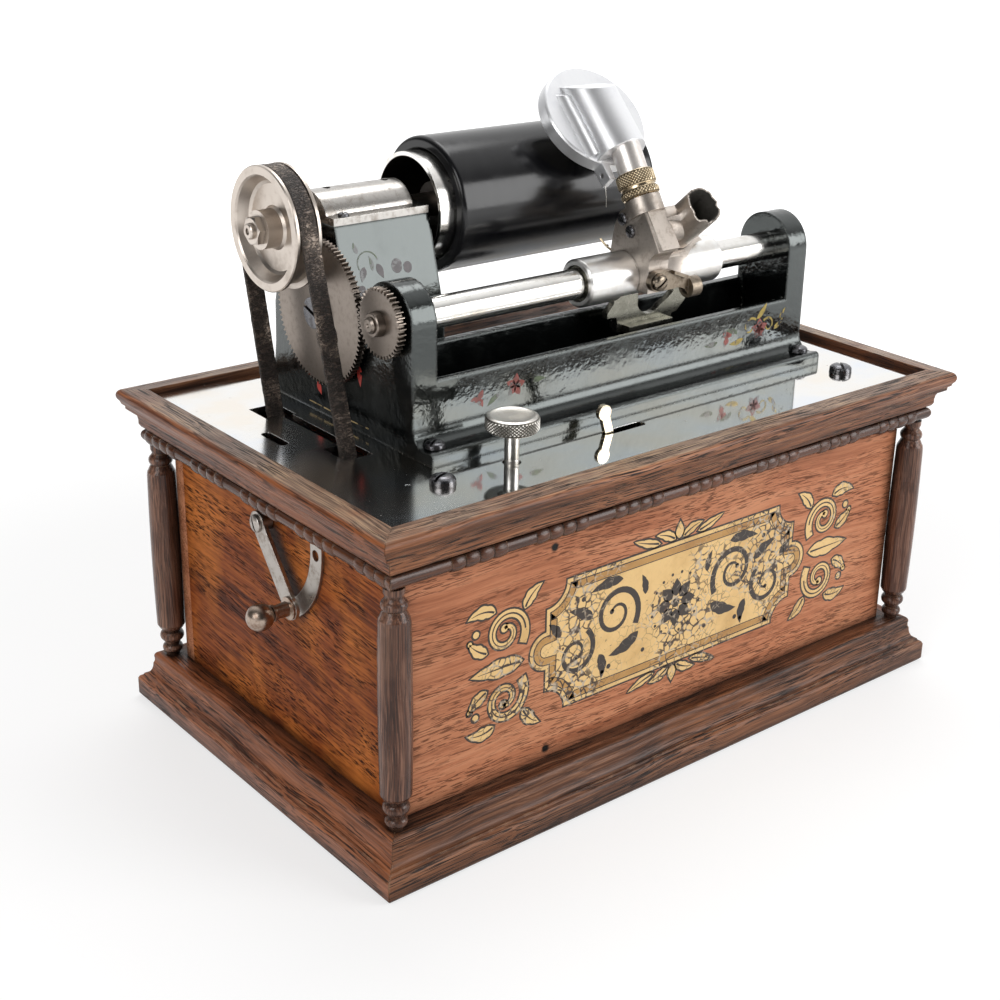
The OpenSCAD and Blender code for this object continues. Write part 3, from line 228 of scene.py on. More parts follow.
def makeStudio():
    world = bpy.data.worlds.new('studio')
    scene.world = world
    world.use_nodes = True
    wire = Wire(world.node_tree)
    back = world.node_tree.nodes['Background']
    x, y, z = axes(wire.add('TexCoord', out='Generated'))
    # the room is white behind, to the right and above, and dark on the camera's side
    room = ease(x * 0.6 + y * 0.5 + z * 0.6, 0.18, 0.85, studio['roomDark'], studio['roomBright'])
    camera = wire.add('LightPath', out='Is Camera Ray')
    mirror = raySeen(wire)
    glow = room * mirror + studio['fill'] * (1 - mirror)
    feed(back, {'Color': (1, 1, 1), 'Strength': camera + glow * (1 - camera)})
    for name, place, size, power in studio['boxes']:
        lamp = bpy.data.lights.new(name, 'AREA')
        lamp.shape = 'DISK'
        lamp.size = size
        lamp.energy = power
        box = bpy.data.objects.new(name, lamp)
        scene.collection.objects.link(box)
        box.location = place
        aim = Vector(studio['aim']) - Vector(place)
        box.rotation_euler = aim.to_track_quat('-Z', 'Y').to_euler()


def makeFloor():
    bm = bmesh.new()
    bmesh.ops.create_grid(bm, x_segments=8, y_segments=8, size=studio['floorSize'] / 2)
    bmesh.ops.translate(bm, verts=bm.verts, vec=(0, 0, -studio['floorDrop']))
    floor = bake(bm, 'floor')
    finish, wire, place = newFinish('paleFloor')
    haze, base = grit(place, 3, 2), studio['floorBase']
    coated(finish, ramp(haze, [(0.3, base - 0.01), (0.7, base + 0.01)]), 0.9, {'Specular IOR Level': 0})
    x, y = axes(place)[:2]
    far = ease((x ** 2 + y ** 2) ** 0.5, 0.25, 1) * studio['floorFar']
    glow = wire.add('Emission', None, {'Color': (1, 1, 1), 'Strength': raySeen(wire) * (far + studio['floorGlow'])})
    nodes = wire.tree.nodes
    both = wire.add('AddShader', None, {0: Wire(wire.tree, nodes['Principled BSDF'].outputs[0]), 1: glow})
    plug(wire.tree, nodes['Material Output'].inputs['Surface'], both)
    dress(floor, finish)


def bake(bm, name, smooth=None):  # bmesh to a linked object; smooth is an angle in degrees
    mesh = bpy.data.meshes.new(name)
    bm.to_mesh(mesh)
    bm.free()
    if smooth is not None:
        mesh.shade_smooth()
        mesh.set_sharp_from_angle(angle=radians(smooth))
    piece = bpy.data.objects.new(name, mesh)
    scene.collection.objects.link(piece)
    return piece


def dress(piece, finish):
    piece.data.materials.clear()
    piece.data.materials.append(finish)


def recoat(finish, *nodes):  # a better finish in the CAD nodes' own slots
    for node in nodes:
        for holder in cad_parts[node].material_slots:
            holder.material = finish


makeStudio()
makeFloor()
print('studio and camera set')

# wood: oak with dark pores, grain along one axis
grainTurn = {'x': (0, 0, 0), 'y': (0, 0, -90), 'z': (0, 90, 0)}
mould = dict(
    tilt=0.5, dash=60, rings=(7, 240, 240), streak=(28, 1300, 1300), pore=(0.012, 0.006, 0.004), gloss=0.25, wear=1,
    grimeAndShade=1)
oakLooks = {
    'oakLeft': dict(
        along='y', tilt=4, dash=110, spread=0.1, dark=(0.09, 0.019, 0.005), mid=(0.24, 0.055, 0.012),
        light=(0.4, 0.108, 0.024), glow=(0.66, 0.21, 0.042), pore=(0.016, 0.005, 0.002), pores=0.9, patch=(13, 34, 17),
        cloud=0.75, rough=0.46, coat=0.02, gloss=0.1, wear=0, grimeAndShade=0.8),
    'oakFront': dict(
        along='x', tilt=-1.5, dash=130, spread=0.12, dark=(0.4, 0.138, 0.064), mid=(0.58, 0.225, 0.112),
        light=(0.68, 0.295, 0.155), glow=(0.74, 0.35, 0.185), pore=(0.12, 0.042, 0.02), pores=0.8, cloud=0.4,
        rough=0.48, coat=0.03, gloss=0.22, wear=0, grimeAndShade=0.8),
    'mouldX': dict(
        mould, along='x', spread=0.11, dark=(0.07, 0.026, 0.012), mid=(0.22, 0.085, 0.04), light=(0.44, 0.195, 0.096),
        glow=(0.36, 0.13, 0.046), pores=0.95, cloud=0.45, rough=0.38, coat=0.08),
    'mouldY': dict(
        mould, along='y', spread=0.14, dark=(0.062, 0.019, 0.008), mid=(0.185, 0.06, 0.025), light=(0.38, 0.14, 0.056),
        glow=(0.4, 0.12, 0.032), pores=0.9, cloud=0.5, rough=0.34, coat=0.1),
    'turned': dict(
        along='z', tilt=0.5, dash=45, spread=0.14, rings=(9, 160, 160), streak=(30, 1500, 1500),
        dark=(0.026, 0.01, 0.006), mid=(0.105, 0.044, 0.027), light=(0.33, 0.17, 0.112), glow=(0.42, 0.23, 0.15),
        pore=(0.01, 0.006, 0.005), pores=0.6, patch=(46, 46, 13), cloud=0.65, rough=0.27, coat=0.3, gloss=0.2, wear=0.5,
        grimeAndShade=1),
    'beadX': dict(
        along='x', tilt=0, dash=60, spread=0.14, streak=(28, 1300, 1300), dark=(0.028, 0.009, 0.004),
        mid=(0.085, 0.03, 0.014), light=(0.2, 0.078, 0.037), glow=(0.22, 0.07, 0.025), pore=(0.012, 0.007, 0.005),
        pores=0.4, cloud=0.5, rough=0.22, coat=0.16, gloss=0.3, wear=0.7, grimeAndShade=1),
}
oakLooks['beadY'] = dict(oakLooks['beadX'], along='y')
oakLooks['footX'] = dict(
    oakLooks['mouldX'], dark=(0.04, 0.015, 0.007), mid=(0.125, 0.049, 0.024), light=(0.27, 0.125, 0.066))
oakLooks['footY'] = dict(
    oakLooks['mouldY'], dark=(0.085, 0.028, 0.013), mid=(0.25, 0.088, 0.042), light=(0.48, 0.19, 0.092))


def oakFinish(name, look, topWorn=False, holes=()):
    finish, wire, place = newFinish(name)
    grain = stretch(place, turn=grainTurn[look['along']])
    grain = stretch(grain, turn=(0, look['tilt'], look['tilt']))
    swirl = wire.add('TexNoise', None, {'Vector': grain, 'Scale': 16, 'Detail': 2}, 'Color')
    grain = vec('MULTIPLY_ADD', swirl, (0.004, 0.006, 0.006), grain)
    rings = streaks(grain, look.get('rings', (5, 110, 110)), 4, 0.6)
    streak = streaks(grain, look.get('streak', (16, 620, 620)), 3, 0.6)
    clouds = grit(place, 26, 3, 0.5)
    patches = streaks(place, look.get('patch', (13, 13, 22)), 3, 0.5, move=(0.3, 0.1, 0.7))
    dashes = ease(streaks(grain, (look['dash'], 1900, 1900), 2, 0.5), 0.51, 0.6)
    bands = ease(streaks(grain, (11, 120, 120), 2, move=(1.7, 0, 0)), 0.34, 0.56)
    pores = dashes * (bands * 0.9 + 0.1) * look['pores']
    spread = look['spread']
    colour = ramp(rings * 0.5 + streak * 0.5, [(0.5 - spread, look['dark']), (0.5, look['mid']),
                                               (0.5 + spread, look['light'])])
    lit = ease(patches * 0.6 + clouds * 0.4, 0.46, 0.64) * look['cloud'] * ease(streak, 0.3, 0.6, 0.5, 1)
    colour = tint(lit, colour, look['glow'])
    if topWorn:  # bleached upper faces, with the pores still dark
        rubbed = upMask(wire) * ease(grit(place, 30, 4, 0.6), 0.22, 0.55)
        pale = ramp(streak * 0.7 + clouds * 0.3, [(0.4, (0.15, 0.086, 0.055)), (0.52, (0.3, 0.195, 0.132)),
                                                  (0.64, (0.5, 0.33, 0.2))])
        colour = tint(rubbed, colour, pale)
    colour = tint(pores, colour, look['pore'])
    # grime and painted shade: darker where other surfaces are near, in corners and recesses
    hidden = wire.add('AmbientOcclusion', {'samples': 6}, {'Distance': 9 * mm}, 'AO')
    grimeAndShade = ease(hidden, 0.92, 0.42) * look['grimeAndShade'] * ease(clouds, 0.2, 0.6, 0.6, 1)
    colour = tint(grimeAndShade, colour, (0.013, 0.006, 0.004))
    # edges painted lighter: wear, and painted highlight along the edges
    if look['wear']:
        worn = edgeMask(wire, 0.9 * mm) * ease(grit(place, 170, 3), 0.42, 0.66) * look['wear']
        colour = tint(worn, colour, (0.38, 0.22, 0.13))
    for x, z, size in holes:  # old nail holes, painted dark: their painted shade and dirt
        across, up = axes(place)[::2]
        away = ((across - x) ** 2 + (up - z) ** 2) ** 0.5 + (grit(place, 900) - 0.5) * (0.9 * mm)
        colour = tint(ease(away, size * 1.5, size * 0.7), colour, (0.006, 0.004, 0.003))
    rough = look['rough'] + (clouds - 0.5) * 0.16 + pores * 0.22
    normal = bumped(rings * 0.25 + streak * 0.35 - pores * 0.9, 0.4, 0.25 * mm, softEdge(wire, 0.55 * mm))
    return coated(finish, colour, rough, {'Normal': normal, 'Coat Weight': look['coat'], 'Coat Roughness': 0.22,
                                          'Specular IOR Level': look['gloss']})


def coatWood():
    nails = ((-65 * mm, 112.4 * mm, 1.6 * mm), (-66.9 * mm, 26 * mm, 1.6 * mm))
    recoat(oakFinish('oakFront', oakLooks['oakFront'], holes=nails), 'panel_front')
    recoat(oakFinish('oakBack', oakLooks['oakFront']), 'panel_back', 'bottom_board')
    recoat(oakFinish('oakLeft', oakLooks['oakLeft']), 'panel_left', 'panel_right')
    recoat(oakFinish('turnedColumn', oakLooks['turned']), 'columns')
    for axis, sides in (('X', ('front', 'back')), ('Y', ('left', 'right'))):
        recoat(oakFinish('mouldBase' + axis, oakLooks['foot' + axis]), *('base_' + side for side in sides))
        upper = oakFinish('mouldFrame' + axis, oakLooks['mould' + axis], topWorn=True)
        recoat(upper, *('frame_' + side for side in sides))


coatWood()
print('wood coated')


# metals
def metal(base, stain, rough, **more):  # a look, with what most metals share
    # bore is the colour of the painted shade inside bores
    usual = dict(metal=1, vary=0.15, stains=0.6, size=300, scratch=(700, 700, 700), turn=(0, 0, 0), mark=0.12, edge=0.3,
                 bore=(0.03, 0.022, 0.017), seams=False)
    return dict(usual, base=base, stain=stain, rough=rough, **more)


metalLooks = {
    'tubeNickel': metal((0.82, 0.805, 0.775), (0.44, 0.39, 0.31), 0.18, vary=0.12, stains=0.4, size=60,
                        scratch=(25, 1300, 1300)),
    'capNickel': metal((0.46, 0.44, 0.415), (0.2, 0.17, 0.14), 0.22, vary=0.16, stains=0.75, size=120,
                       scratch=(1500, 30, 30), mark=0.14),
    'bronze': metal((0.24, 0.2, 0.155), (0.1, 0.075, 0.052), 0.34, stains=0.7, size=260),
    'satinSleeve': metal((0.86, 0.85, 0.83), (0.6, 0.56, 0.5), 0.3, vary=0.1, stains=0.4, size=70,
                         scratch=(1300, 40, 40), mark=0.08, edge=0.5, seams=True),
    'neckNickel': metal((0.92, 0.87, 0.83), (0.64, 0.57, 0.51), 0.36, metal=0.8, vary=0.1, stains=0.5, size=120,
                        scratch=(900, 200, 200), mark=0.08),
    'satinNickel': metal((0.55, 0.49, 0.435), (0.33, 0.27, 0.22), 0.33, vary=0.14, stains=0.4, size=110,
                         scratch=(400, 400, 400), mark=0.1, edge=0.15),
    'gearNickel': metal((0.25, 0.213, 0.183), (0.16, 0.127, 0.1), 0.34, vary=0.1, stains=0.45, size=520,
                        scratch=(400, 400, 400), mark=0.14, edge=0.12),
    'castNickel': metal((0.52, 0.465, 0.415), (0.27, 0.22, 0.18), 0.42, vary=0.16, size=240, scratch=(300, 900, 900),
                        bore=(0.11, 0.105, 0.095), seams=True),
    'guideNickel': metal((0.22, 0.215, 0.18), (0.1, 0.092, 0.07), 0.28, size=200, scratch=(300, 900, 900), edge=0.4),
    'knobNickel': metal((0.42, 0.335, 0.275), (0.2, 0.125, 0.085), 0.31, vary=0.2, stains=0.8, size=260,
                        scratch=(500, 500, 500), mark=0.1, edge=0.2),
    'aluminium': metal((0.87, 0.875, 0.89), (0.66, 0.67, 0.71), 0.35, metal=0.8, vary=0.08, stains=0.3, size=60,
                       scratch=(1100, 45, 1100), turn=(-46, 0, 0), mark=0.05, edge=0.7),
    'agedBrass': metal((0.74, 0.61, 0.42), (0.34, 0.24, 0.135), 0.27, vary=0.18, stains=0.7, mark=0.1, edge=0.15),
    'paleBrass': metal((0.7, 0.63, 0.49), (0.42, 0.33, 0.2), 0.22, mark=0.1),
    'leverSteel': metal((0.44, 0.405, 0.37), (0.22, 0.17, 0.13), 0.33, vary=0.18, stains=0.7, size=200,
                        scratch=(900, 120, 120), mark=0.2, edge=0.4),
    'darkSteel': metal((0.16, 0.16, 0.17), (0.06, 0.05, 0.045), 0.27, scratch=(900, 900, 900), mark=0.15, edge=0.25),
    'plainSteel': metal((0.52, 0.515, 0.51), (0.28, 0.24, 0.2), 0.3, size=150, scratch=(300, 900, 900), mark=0.15,
                        edge=0.2),
}


def metalFinish(name, look, turned=None, bore=None, front=None, knurled=None):
    # turned gives the axis (y, z) of lathe marks along x, bore what boreMask asks for
    finish, wire, place = newFinish(name)
    cloud = grit(place, look['size'], 4, 0.6)
    mottle = grit(place, look['size'] * 4.3, 3, 0.6)
    stains = ease(cloud * 0.65 + mottle * 0.35, 0.47, 0.68) * look['stains']
    if turned:
        x, y, z = axes(place)
        reach = ((y - turned[0]) ** 2 + (z - turned[1]) ** 2) ** 0.5
        fine = 2600  # marks per metre
        marks = grit(wire.add('CombineXYZ', None, {0: x * fine, 1: reach * fine}), 1, 3, 0.65)
    else:
        marks = streaks(stretch(place, turn=look['turn']), look['scratch'], 4, 0.65)
    colour = tint(stains, look['base'], look['stain'])
    if front:  # another metal in front of a plane of y
        colour = tint(ease(axes(place)[1], front[0], front[0] - 0.5 * mm), colour,
                      tint(stains, front[1]['base'], front[1]['stain']))
    colour = tint(ease(marks, 0.55, 0.8) * 0.25, colour, look['stain'])
    hidden = wire.add('AmbientOcclusion', {'samples': 4, 'only_local': not look['seams']}, {'Distance': 2.5 * mm}, 'AO')
    colour = tint(ease(hidden, 0.75, 0.3) * 0.7, colour, [c * 0.28 for c in look['stain']])  # painted shade in inner corners, and near other parts for looks that ask for it
    gloss = look['rough'] + (cloud - 0.5) * look['vary'] + stains * 0.14 + (marks - 0.5) * look['mark']
    if knurled:  # dirt and painted shade in the valleys of a knurl
        foot, way, radius, depth = knurled
        away = reachFrom(place, foot, way)
        dirtAndShade = ease(away, radius - 0.12 * mm, radius - depth) * ease(away, radius - depth * 1.3, radius - depth * 1.15)
        colour = tint(dirtAndShade * 0.9, colour, [c * 0.2 for c in look['stain']])
        gloss = gloss + dirtAndShade * 0.3
    # painted shade inside a bore: darkened to the look's bore colour past a station
    if bore:
        inside = boreMask(place, *bore)
        colour = tint(inside * 0.94, colour, look['bore'])
        gloss = gloss + inside * 0.25
    height = marks * 0.6 + mottle * 0.4
    normal = bumped(height, 0.06 + look['mark'] * 0.6, 0.04 * mm, softEdge(wire, look['edge'] * mm))
    return coated(finish, colour, gloss, {'Metallic': look['metal'], 'Normal': normal})


def spoke(turn):  # unit vector in the plane of y and z
    return Vector((0, cos(turn), sin(turn)))


mandrelAxis = (33.2 * mm, 217.5 * mm)
idlerAxis = (21.832 * mm, 184.98 * mm)
tubeAxis = (-19.4 * mm, 190.5 * mm)
# dark is how far into the socket its painted shade starts
hornSocket = {'foot': (45, -23.4, 206), 'direction': 138.5, 'length': 22, 'chip': 3.2, 'bore': 7.35, 'dark': 4}
hornWay = spoke(radians(hornSocket['direction']))
hornFoot = Vector(hornSocket['foot']) * mm
finishes = {name: metalFinish(name, look) for name, look in metalLooks.items()}
variants = {
    'pulleyNickel': ('satinNickel', dict(turned=mandrelAxis)),
    'idlerNickel': ('gearNickel', dict(turned=idlerAxis)),
    'feedNickel': ('gearNickel', dict(turned=tubeAxis)),
    'rimNickel': ('tubeNickel', dict(turned=mandrelAxis, bore=((0, *mandrelAxis), (1, 0, 0), 20.7 * mm))),
    'armScrews': ('darkSteel', dict(front=(-32 * mm, metalLooks['bronze']))),
    'headNickel': ('castNickel', dict(bore=(hornFoot, hornWay, hornSocket['bore'] * mm, hornSocket['dark'] * mm))),
}
for name, (look, ways) in variants.items():
    finishes[name] = metalFinish(name, metalLooks[look], **ways)


def plateFinish():  # mirror plate, dulled and faintly coloured towards the left
    finish, wire, place = newFinish('mirrorPlate')
    cloud = grit(place, 22, 4, 0.6)
    film = grit(stretch(place, move=(0.4, 0.2, 0)), 38, 3, 0.5)
    dull = ease(axes(place)[0] + (cloud - 0.5) * 0.06, -0.085, -0.115) + ease(cloud, 0.5, 0.72) * 0.15
    specks = ease(grit(place, 420, 2, 0.5), 0.72, 0.76)
    scratches = streaks(place, (60, 2400, 2400), 2, turn=(0, 0, 25))
    colour = ramp(film, [(0.32, (0.85, 0.8, 0.73)), (0.5, (0.84, 0.83, 0.81)), (0.68, (0.77, 0.8, 0.85))])
    colour = tint(specks * 0.7, colour, (0.25, 0.2, 0.15))
    rough = 0.055 + dull * 0.11 + specks * 0.25 + ease(scratches, 0.6, 0.75) * 0.05
    normal = bumped(cloud, 0.05, 0.4 * mm, softEdge(wire, 0.35 * mm))
    return coated(finish, colour, rough, {'Metallic': 1, 'Normal': normal})


def japanFinish():  # black stoved varnish, dusty on top and chipped at the edges
    finish, wire, place = newFinish('blackJapan')
    lumps = grit(place, 190, 3, 0.55)
    peel = grit(place, 520, 2, 0.5)
    dust = ease(grit(place, 60, 4, 0.65), 0.45, 0.75)
    settled = upMask(wire, 0.3, 0.9) * 0.8 + 0.2
    colour = tint(dust * settled, (0.002, 0.0025, 0.0025), (0.012, 0.014, 0.013))
    chips = ease(grit(place, 700, 2), 0.6, 0.66) * edgeMask(wire, 1.2 * mm)
    colour = tint(chips, colour, (0.2, 0.19, 0.17))
    gloss = 0.115 + dust * 0.13 + chips * 0.3
    normal = bumped(lumps * 0.7 + peel * 0.35, 0.42, 0.5 * mm, softEdge(wire, 1.5 * mm))
    return coated(finish, colour, gloss, {'Normal': normal, 'IOR': 1.72, 'Specular Tint': (0.92, 1, 0.98, 1)})


def waxFinish():
    finish, wire, place = newFinish('blackWax')
    ringsWide = streaks(place, (330, 9, 9), 4, 0.6)
    ringsFine = streaks(place, (2600, 30, 30), 2, 0.6)
    bloom = ease(grit(place, 45, 4, 0.6), 0.42, 0.72)
    colour = tint(bloom, (0.004, 0.004, 0.005), (0.012, 0.012, 0.013))
    gloss = 0.17 + (ringsWide - 0.5) * 0.1 + bloom * 0.05
    normal = bumped(ringsWide * 0.4 + ringsFine * 0.6, 0.1, 0.04 * mm, softEdge(wire, 0.6 * mm))
    return coated(finish, colour, gloss, {'Normal': normal, 'IOR': 1.42})


def micaFinish():
    finish, _, place = newFinish('micaSheet')
    cloud = grit(place, 120, 4)
    colour = ramp(cloud, [(0.3, (0.55, 0.5, 0.38)), (0.7, (0.74, 0.7, 0.58))])
    return coated(finish, colour, 0.2 + cloud * 0.2, {'Normal': bumped(cloud, 0.2, 0.1 * mm)})


def leatherFinish():
    finish, wire, place = newFinish('beltLeather')
    folds = streaks(place, (330, 780, 780), 3, 0.6, 1.2)
    creases = ease(folds.calc('ABSOLUTE', folds - 0.5), 0.1, 0.02)
    grain = grit(place, 1100, 3, 0.6)
    wear = ease(grit(place, 80, 4, 0.6), 0.42, 0.68)
    colour = ramp(grain * 0.4 + wear * 0.4 + folds * 0.2, [(0.3, (0.06, 0.042, 0.033)), (0.5, (0.2, 0.15, 0.118)),
                                                           (0.7, (0.5, 0.4, 0.325))])
    # creases painted darker, as painted shade in the folds
    colour = tint(creases * 0.8, colour, (0.01, 0.007, 0.005))
    rub = edgeMask(wire, 0.8 * mm, 0.99, 0.7) * 0.5
    colour = tint(rub, colour, (0.12, 0.085, 0.066))
    normal = bumped(grain * 0.2 + folds - creases * 0.5, 1, 1.1 * mm)
    return coated(finish, colour, 0.38 + (grain - 0.5) * 0.25 + creases * 0.2, {'Normal': normal})


coats = {
    'tubeNickel': ('feed_tube',),
    'capNickel': ('bearing_cap',),
    'bronze': ('lift_lever',),
    'satinSleeve': ('carriage_sleeve',),
    'neckNickel': ('reproducer_neck',),
    'rimNickel': ('mandrel',),
    'pulleyNickel': ('mandrel_pulley', 'pulley_nut', 'mandrel_shaft'),
    'idlerNickel': ('idler_gear',),
    'feedNickel': ('feed_gear', 'feed_screw'),
    'castNickel': ('carriage_head',),
    'guideNickel': ('carriage_bush',),
    'knobNickel': ('side_knob',),
    'aluminium': ('reproducer_body',),
    'agedBrass': ('clamp_collar', 'bearing_bush', 'motor_pillars', 'spring_barrel', 'mid_wheel', 'governor'),
    'paleBrass': ('start_lever',),
    'leverSteel': ('side_lever', 'quadrant_strip', 'lever_screws'),
    'armScrews': ('head_screws',),
    'darkSteel': ('bedplate_screws', 'casting_screws', 'idler_stud'),
    'plainSteel': ('retaining_ring', 'stylus_lever', 'lever_bracket', 'motor_plates', 'mainspring', 'drive_arbor',
                   'speed_screw'),
}
for coat, nodes in coats.items():
    recoat(finishes[coat], *nodes)
recoat(plateFinish(), 'bedplate')
recoat(japanFinish(), 'bed_casting')
recoat(waxFinish(), 'record_cylinder')
recoat(micaFinish(), 'diaphragm')
print('metal, japan and wax coated')


def mount(bm, name, smooth, finish, body, slot, *nodes, stand=None):  # bmesh to a dressed piece on its body
    if stand is not None:  # the piece's own frame, in millimetres
        bmesh.ops.transform(bm, matrix=Matrix.Scale(mm, 4) @ stand, verts=bm.verts)
    piece = bake(bm, name, smooth)
    dress(piece, finish)
    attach(piece, body)
    if nodes:
        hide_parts(*nodes)


def tidyMesh(bm, merge):
    bmesh.ops.remove_doubles(bm, verts=bm.verts, dist=merge)
    bmesh.ops.recalc_face_normals(bm, faces=bm.faces)


def only(geom, kind):
    return [g for g in geom if isinstance(g, kind)]


def spun(turn, axis):
    return Matrix.Rotation(radians(turn), 4, axis)


# leather belt: two wraps and two runs, swept from one rounded section
belt = {
    'x': -112.3, 'width': 7.4, 'thick': 1.7, 'round': 0.5, 'top': (33.2, 217.5), 'topRadius': 22.35,
    'foot': (-3.8, 77.3), 'footRadius': 25.75, 'wrapSteps': 36, 'runStep': 1.6, 'wrinkle': 0.16,
    'lapY': 10, 'lapZ': 183, 'lapHalf': 2.4, 'lapRise': 2.2,
}


def makeBelt():
    b = belt
    top, foot = Vector((0, *b['top'])), Vector((0, *b['foot']))
    grow = b['footRadius'] - b['topRadius']
    way = atan2(foot.z - top.z, foot.y - top.y)
    lean = asin(grow / (foot - top).length)
    start, end = spoke(way + pi / 2 + lean), spoke(way + pi * 1.5 - lean)  # where the upper wrap starts and ends
    bm = bmesh.new()
    bmesh.ops.create_grid(bm, x_segments=1, y_segments=1, size=0.5)
    bmesh.ops.scale(bm, verts=bm.verts, vec=(b['width'], b['thick'], 1))
    bmesh.ops.bevel(bm, geom=bm.verts[:], offset=b['round'], affect='VERTICES', segments=3, profile=0.5, material=-1)
    bmesh.ops.subdivide_edges(bm, edges=[e for e in bm.edges if e.calc_length() > 3], cuts=5)
    # stand the section on the start of the upper wrap: local y is away from the pulley
    stand = Matrix(((1, 0, 0), start, (0, -start.z, start.y))).transposed().to_4x4()
    stand.translation = top + start * (b['topRadius'] + b['thick'] / 2)
    bmesh.ops.transform(bm, matrix=stand, verts=bm.verts)
    first = bm.faces[:]

    def drop(faces):
        bmesh.ops.delete(bm, geom=[f for f in faces if f.is_valid], context='FACES_KEEP_BOUNDARY')

    def wrap(geom, centre, angle):
        made = bmesh.ops.spin(bm, geom=geom, cent=centre, axis=(1, 0, 0), angle=angle, steps=b['wrapSteps'])
        return made['geom_last']

    def run(geom, step):
        count = max(2, round(step.length / b['runStep']))
        for _ in range(count):
            old = only(geom, BMFace)
            geom = bmesh.ops.extrude_face_region(bm, geom=old)['geom']
            bmesh.ops.translate(bm, verts=only(geom, BMVert), vec=step / count)
            drop(old)
        return geom

    geom = wrap(first + bm.edges[:] + bm.verts[:], top, pi - 2 * lean)
    geom = run(geom, foot - top + end * grow)
    geom = wrap(geom, foot, pi + 2 * lean)
    geom = run(geom, top - foot - start * grow)
    drop(only(geom, BMFace))
    drop(first)
    tidyMesh(bm, 0.05)
    bm.normal_update()
    for v in bm.verts:  # wrinkled hide and the glued lap
        p = v.co
        rough = noise.fractal((p.x * 0.25, p.y * 0.75, p.z * 0.75), 0.7, 2, 3)
        lap = b['lapRise'] if p.y < b['lapY'] and abs(p.z - b['lapZ']) < b['lapHalf'] else 0
        v.co += v.normal * b['wrinkle'] * (rough + lap)
    mount(bm, 'belt_leather', 40, leatherFinish(), 'case', 'leather', 'drive_belt',
          stand=Matrix.Translation((b['x'], 0, 0)))


makeBelt()


def knurl(bm, radius, low, high, columns, rows, depth):  # diamond knurl on a cylinder about z
    step = (high - low) / rows
    verts = [bm.verts.new((radius, 0, low))]
    geom = verts[:]
    made = bmesh.ops.extrude_vert_indiv(bm, verts=verts)
    for k in range(rows):
        top = made['verts']
        bmesh.ops.translate(bm, verts=top, vec=(0, 0, step))
        geom += top + made['edges']
        if k < rows - 1:
            made = bmesh.ops.extrude_vert_indiv(bm, verts=top)
    before = set(bm.faces)
    bmesh.ops.spin(bm, geom=geom, cent=(0, 0, 0), axis=(0, 0, 1), angle=tau, steps=columns, use_merge=True)
    walls = [f for f in bm.faces if f not in before]
    valleys = set()
    for v in {v for f in walls for v in f.verts}:
        turn = round(atan2(v.co.y, v.co.x) / tau * columns)
        level = round((v.co.z - low) / step)
        if (turn + level) % 2 or level in (0, rows):
            valleys.add(v)
            v.co.x *= (radius - depth) / radius
            v.co.y *= (radius - depth) / radius
    for f in walls:  # split along the valley lines, so each peak is a diamond
        pair = [v for v in f.verts if v in valleys]
        if len(pair) == 2 and not any(e.other_vert(pair[0]) == pair[1] for e in pair[0].link_edges):
            bmesh.ops.connect_verts(bm, verts=pair)


def lathe(bm, outline, steps):  # outline of (radius, z), closed on the axis where it starts or ends there
    verts = [bm.verts.new((r, 0, z)) for r, z in outline]
    edges = [bm.edges.new(pair) for pair in zip(verts, verts[1:])]
    bmesh.ops.spin(bm, geom=verts + edges, cent=(0, 0, 0), axis=(0, 0, 1), angle=tau, steps=steps, use_merge=True)


def slotted(bm, radius, height, slotWidth, slotDepth, turn):  # domed screw head with a slot, on z = 0
    held = set(bm.verts)
    near, floor = 0.001, height - slotDepth
    arc = [a * pi / 12 for a in range(1, 7)]
    dome = [(radius * sin(a), height * (0.35 + 0.65 * cos(a))) for a in arc]
    lathe(bm, [(0, height)] + dome + [(radius, 0), (0, 0)], 24)
    bmesh.ops.remove_doubles(bm, verts=[v for v in bm.verts if v not in held], dist=0.002)
    for side in (-1, 1):
        new = [v for v in bm.verts if v not in held]
        geom = new + [e for v in new for e in v.link_edges] + [f for v in new for f in v.link_faces]
        bmesh.ops.bisect_plane(bm, geom=list(set(geom)), dist=0.0005, plane_co=(0, side * slotWidth / 2, 0),
                               plane_no=(0, 1, 0))
    new = [v for v in bm.verts if v not in held]
    for v in new:
        off = abs(v.co.y) - slotWidth / 2
        if off < -near and v.co.z > floor:
            v.co.z = floor
        elif abs(off) < near and v.co.z > floor + 0.01:  # the slot's walls lean out a little
            v.co.y *= 1.05
    bmesh.ops.transform(bm, matrix=spun(turn, 'Z'), verts=new)
    return new


# speed screw: knurled head on a stem, outlines of (radius, height)
speedScrew = {
    'at': (-69, -58.7, 140.6), 'radius': 10.4, 'low': 13.5, 'high': 18.4, 'columns': 84, 'rows': 8, 'depth': 0.45,
    'crown': [(8.5, 18.98), (8.1, 18.8), (4, 18.7), (1.2, 18.72), (0, 18.72)],
    'stem': [(5.2, 12.9), (4.9, 12.4), (3.8, 11.8), (3.4, 11.5), (2.85, 11.4), (2.85, 2), (2.7, 1.6), (2.9, 1.2),
             (2.9, -26.8), (1.2, -29.8), (0, -29.9)],
}


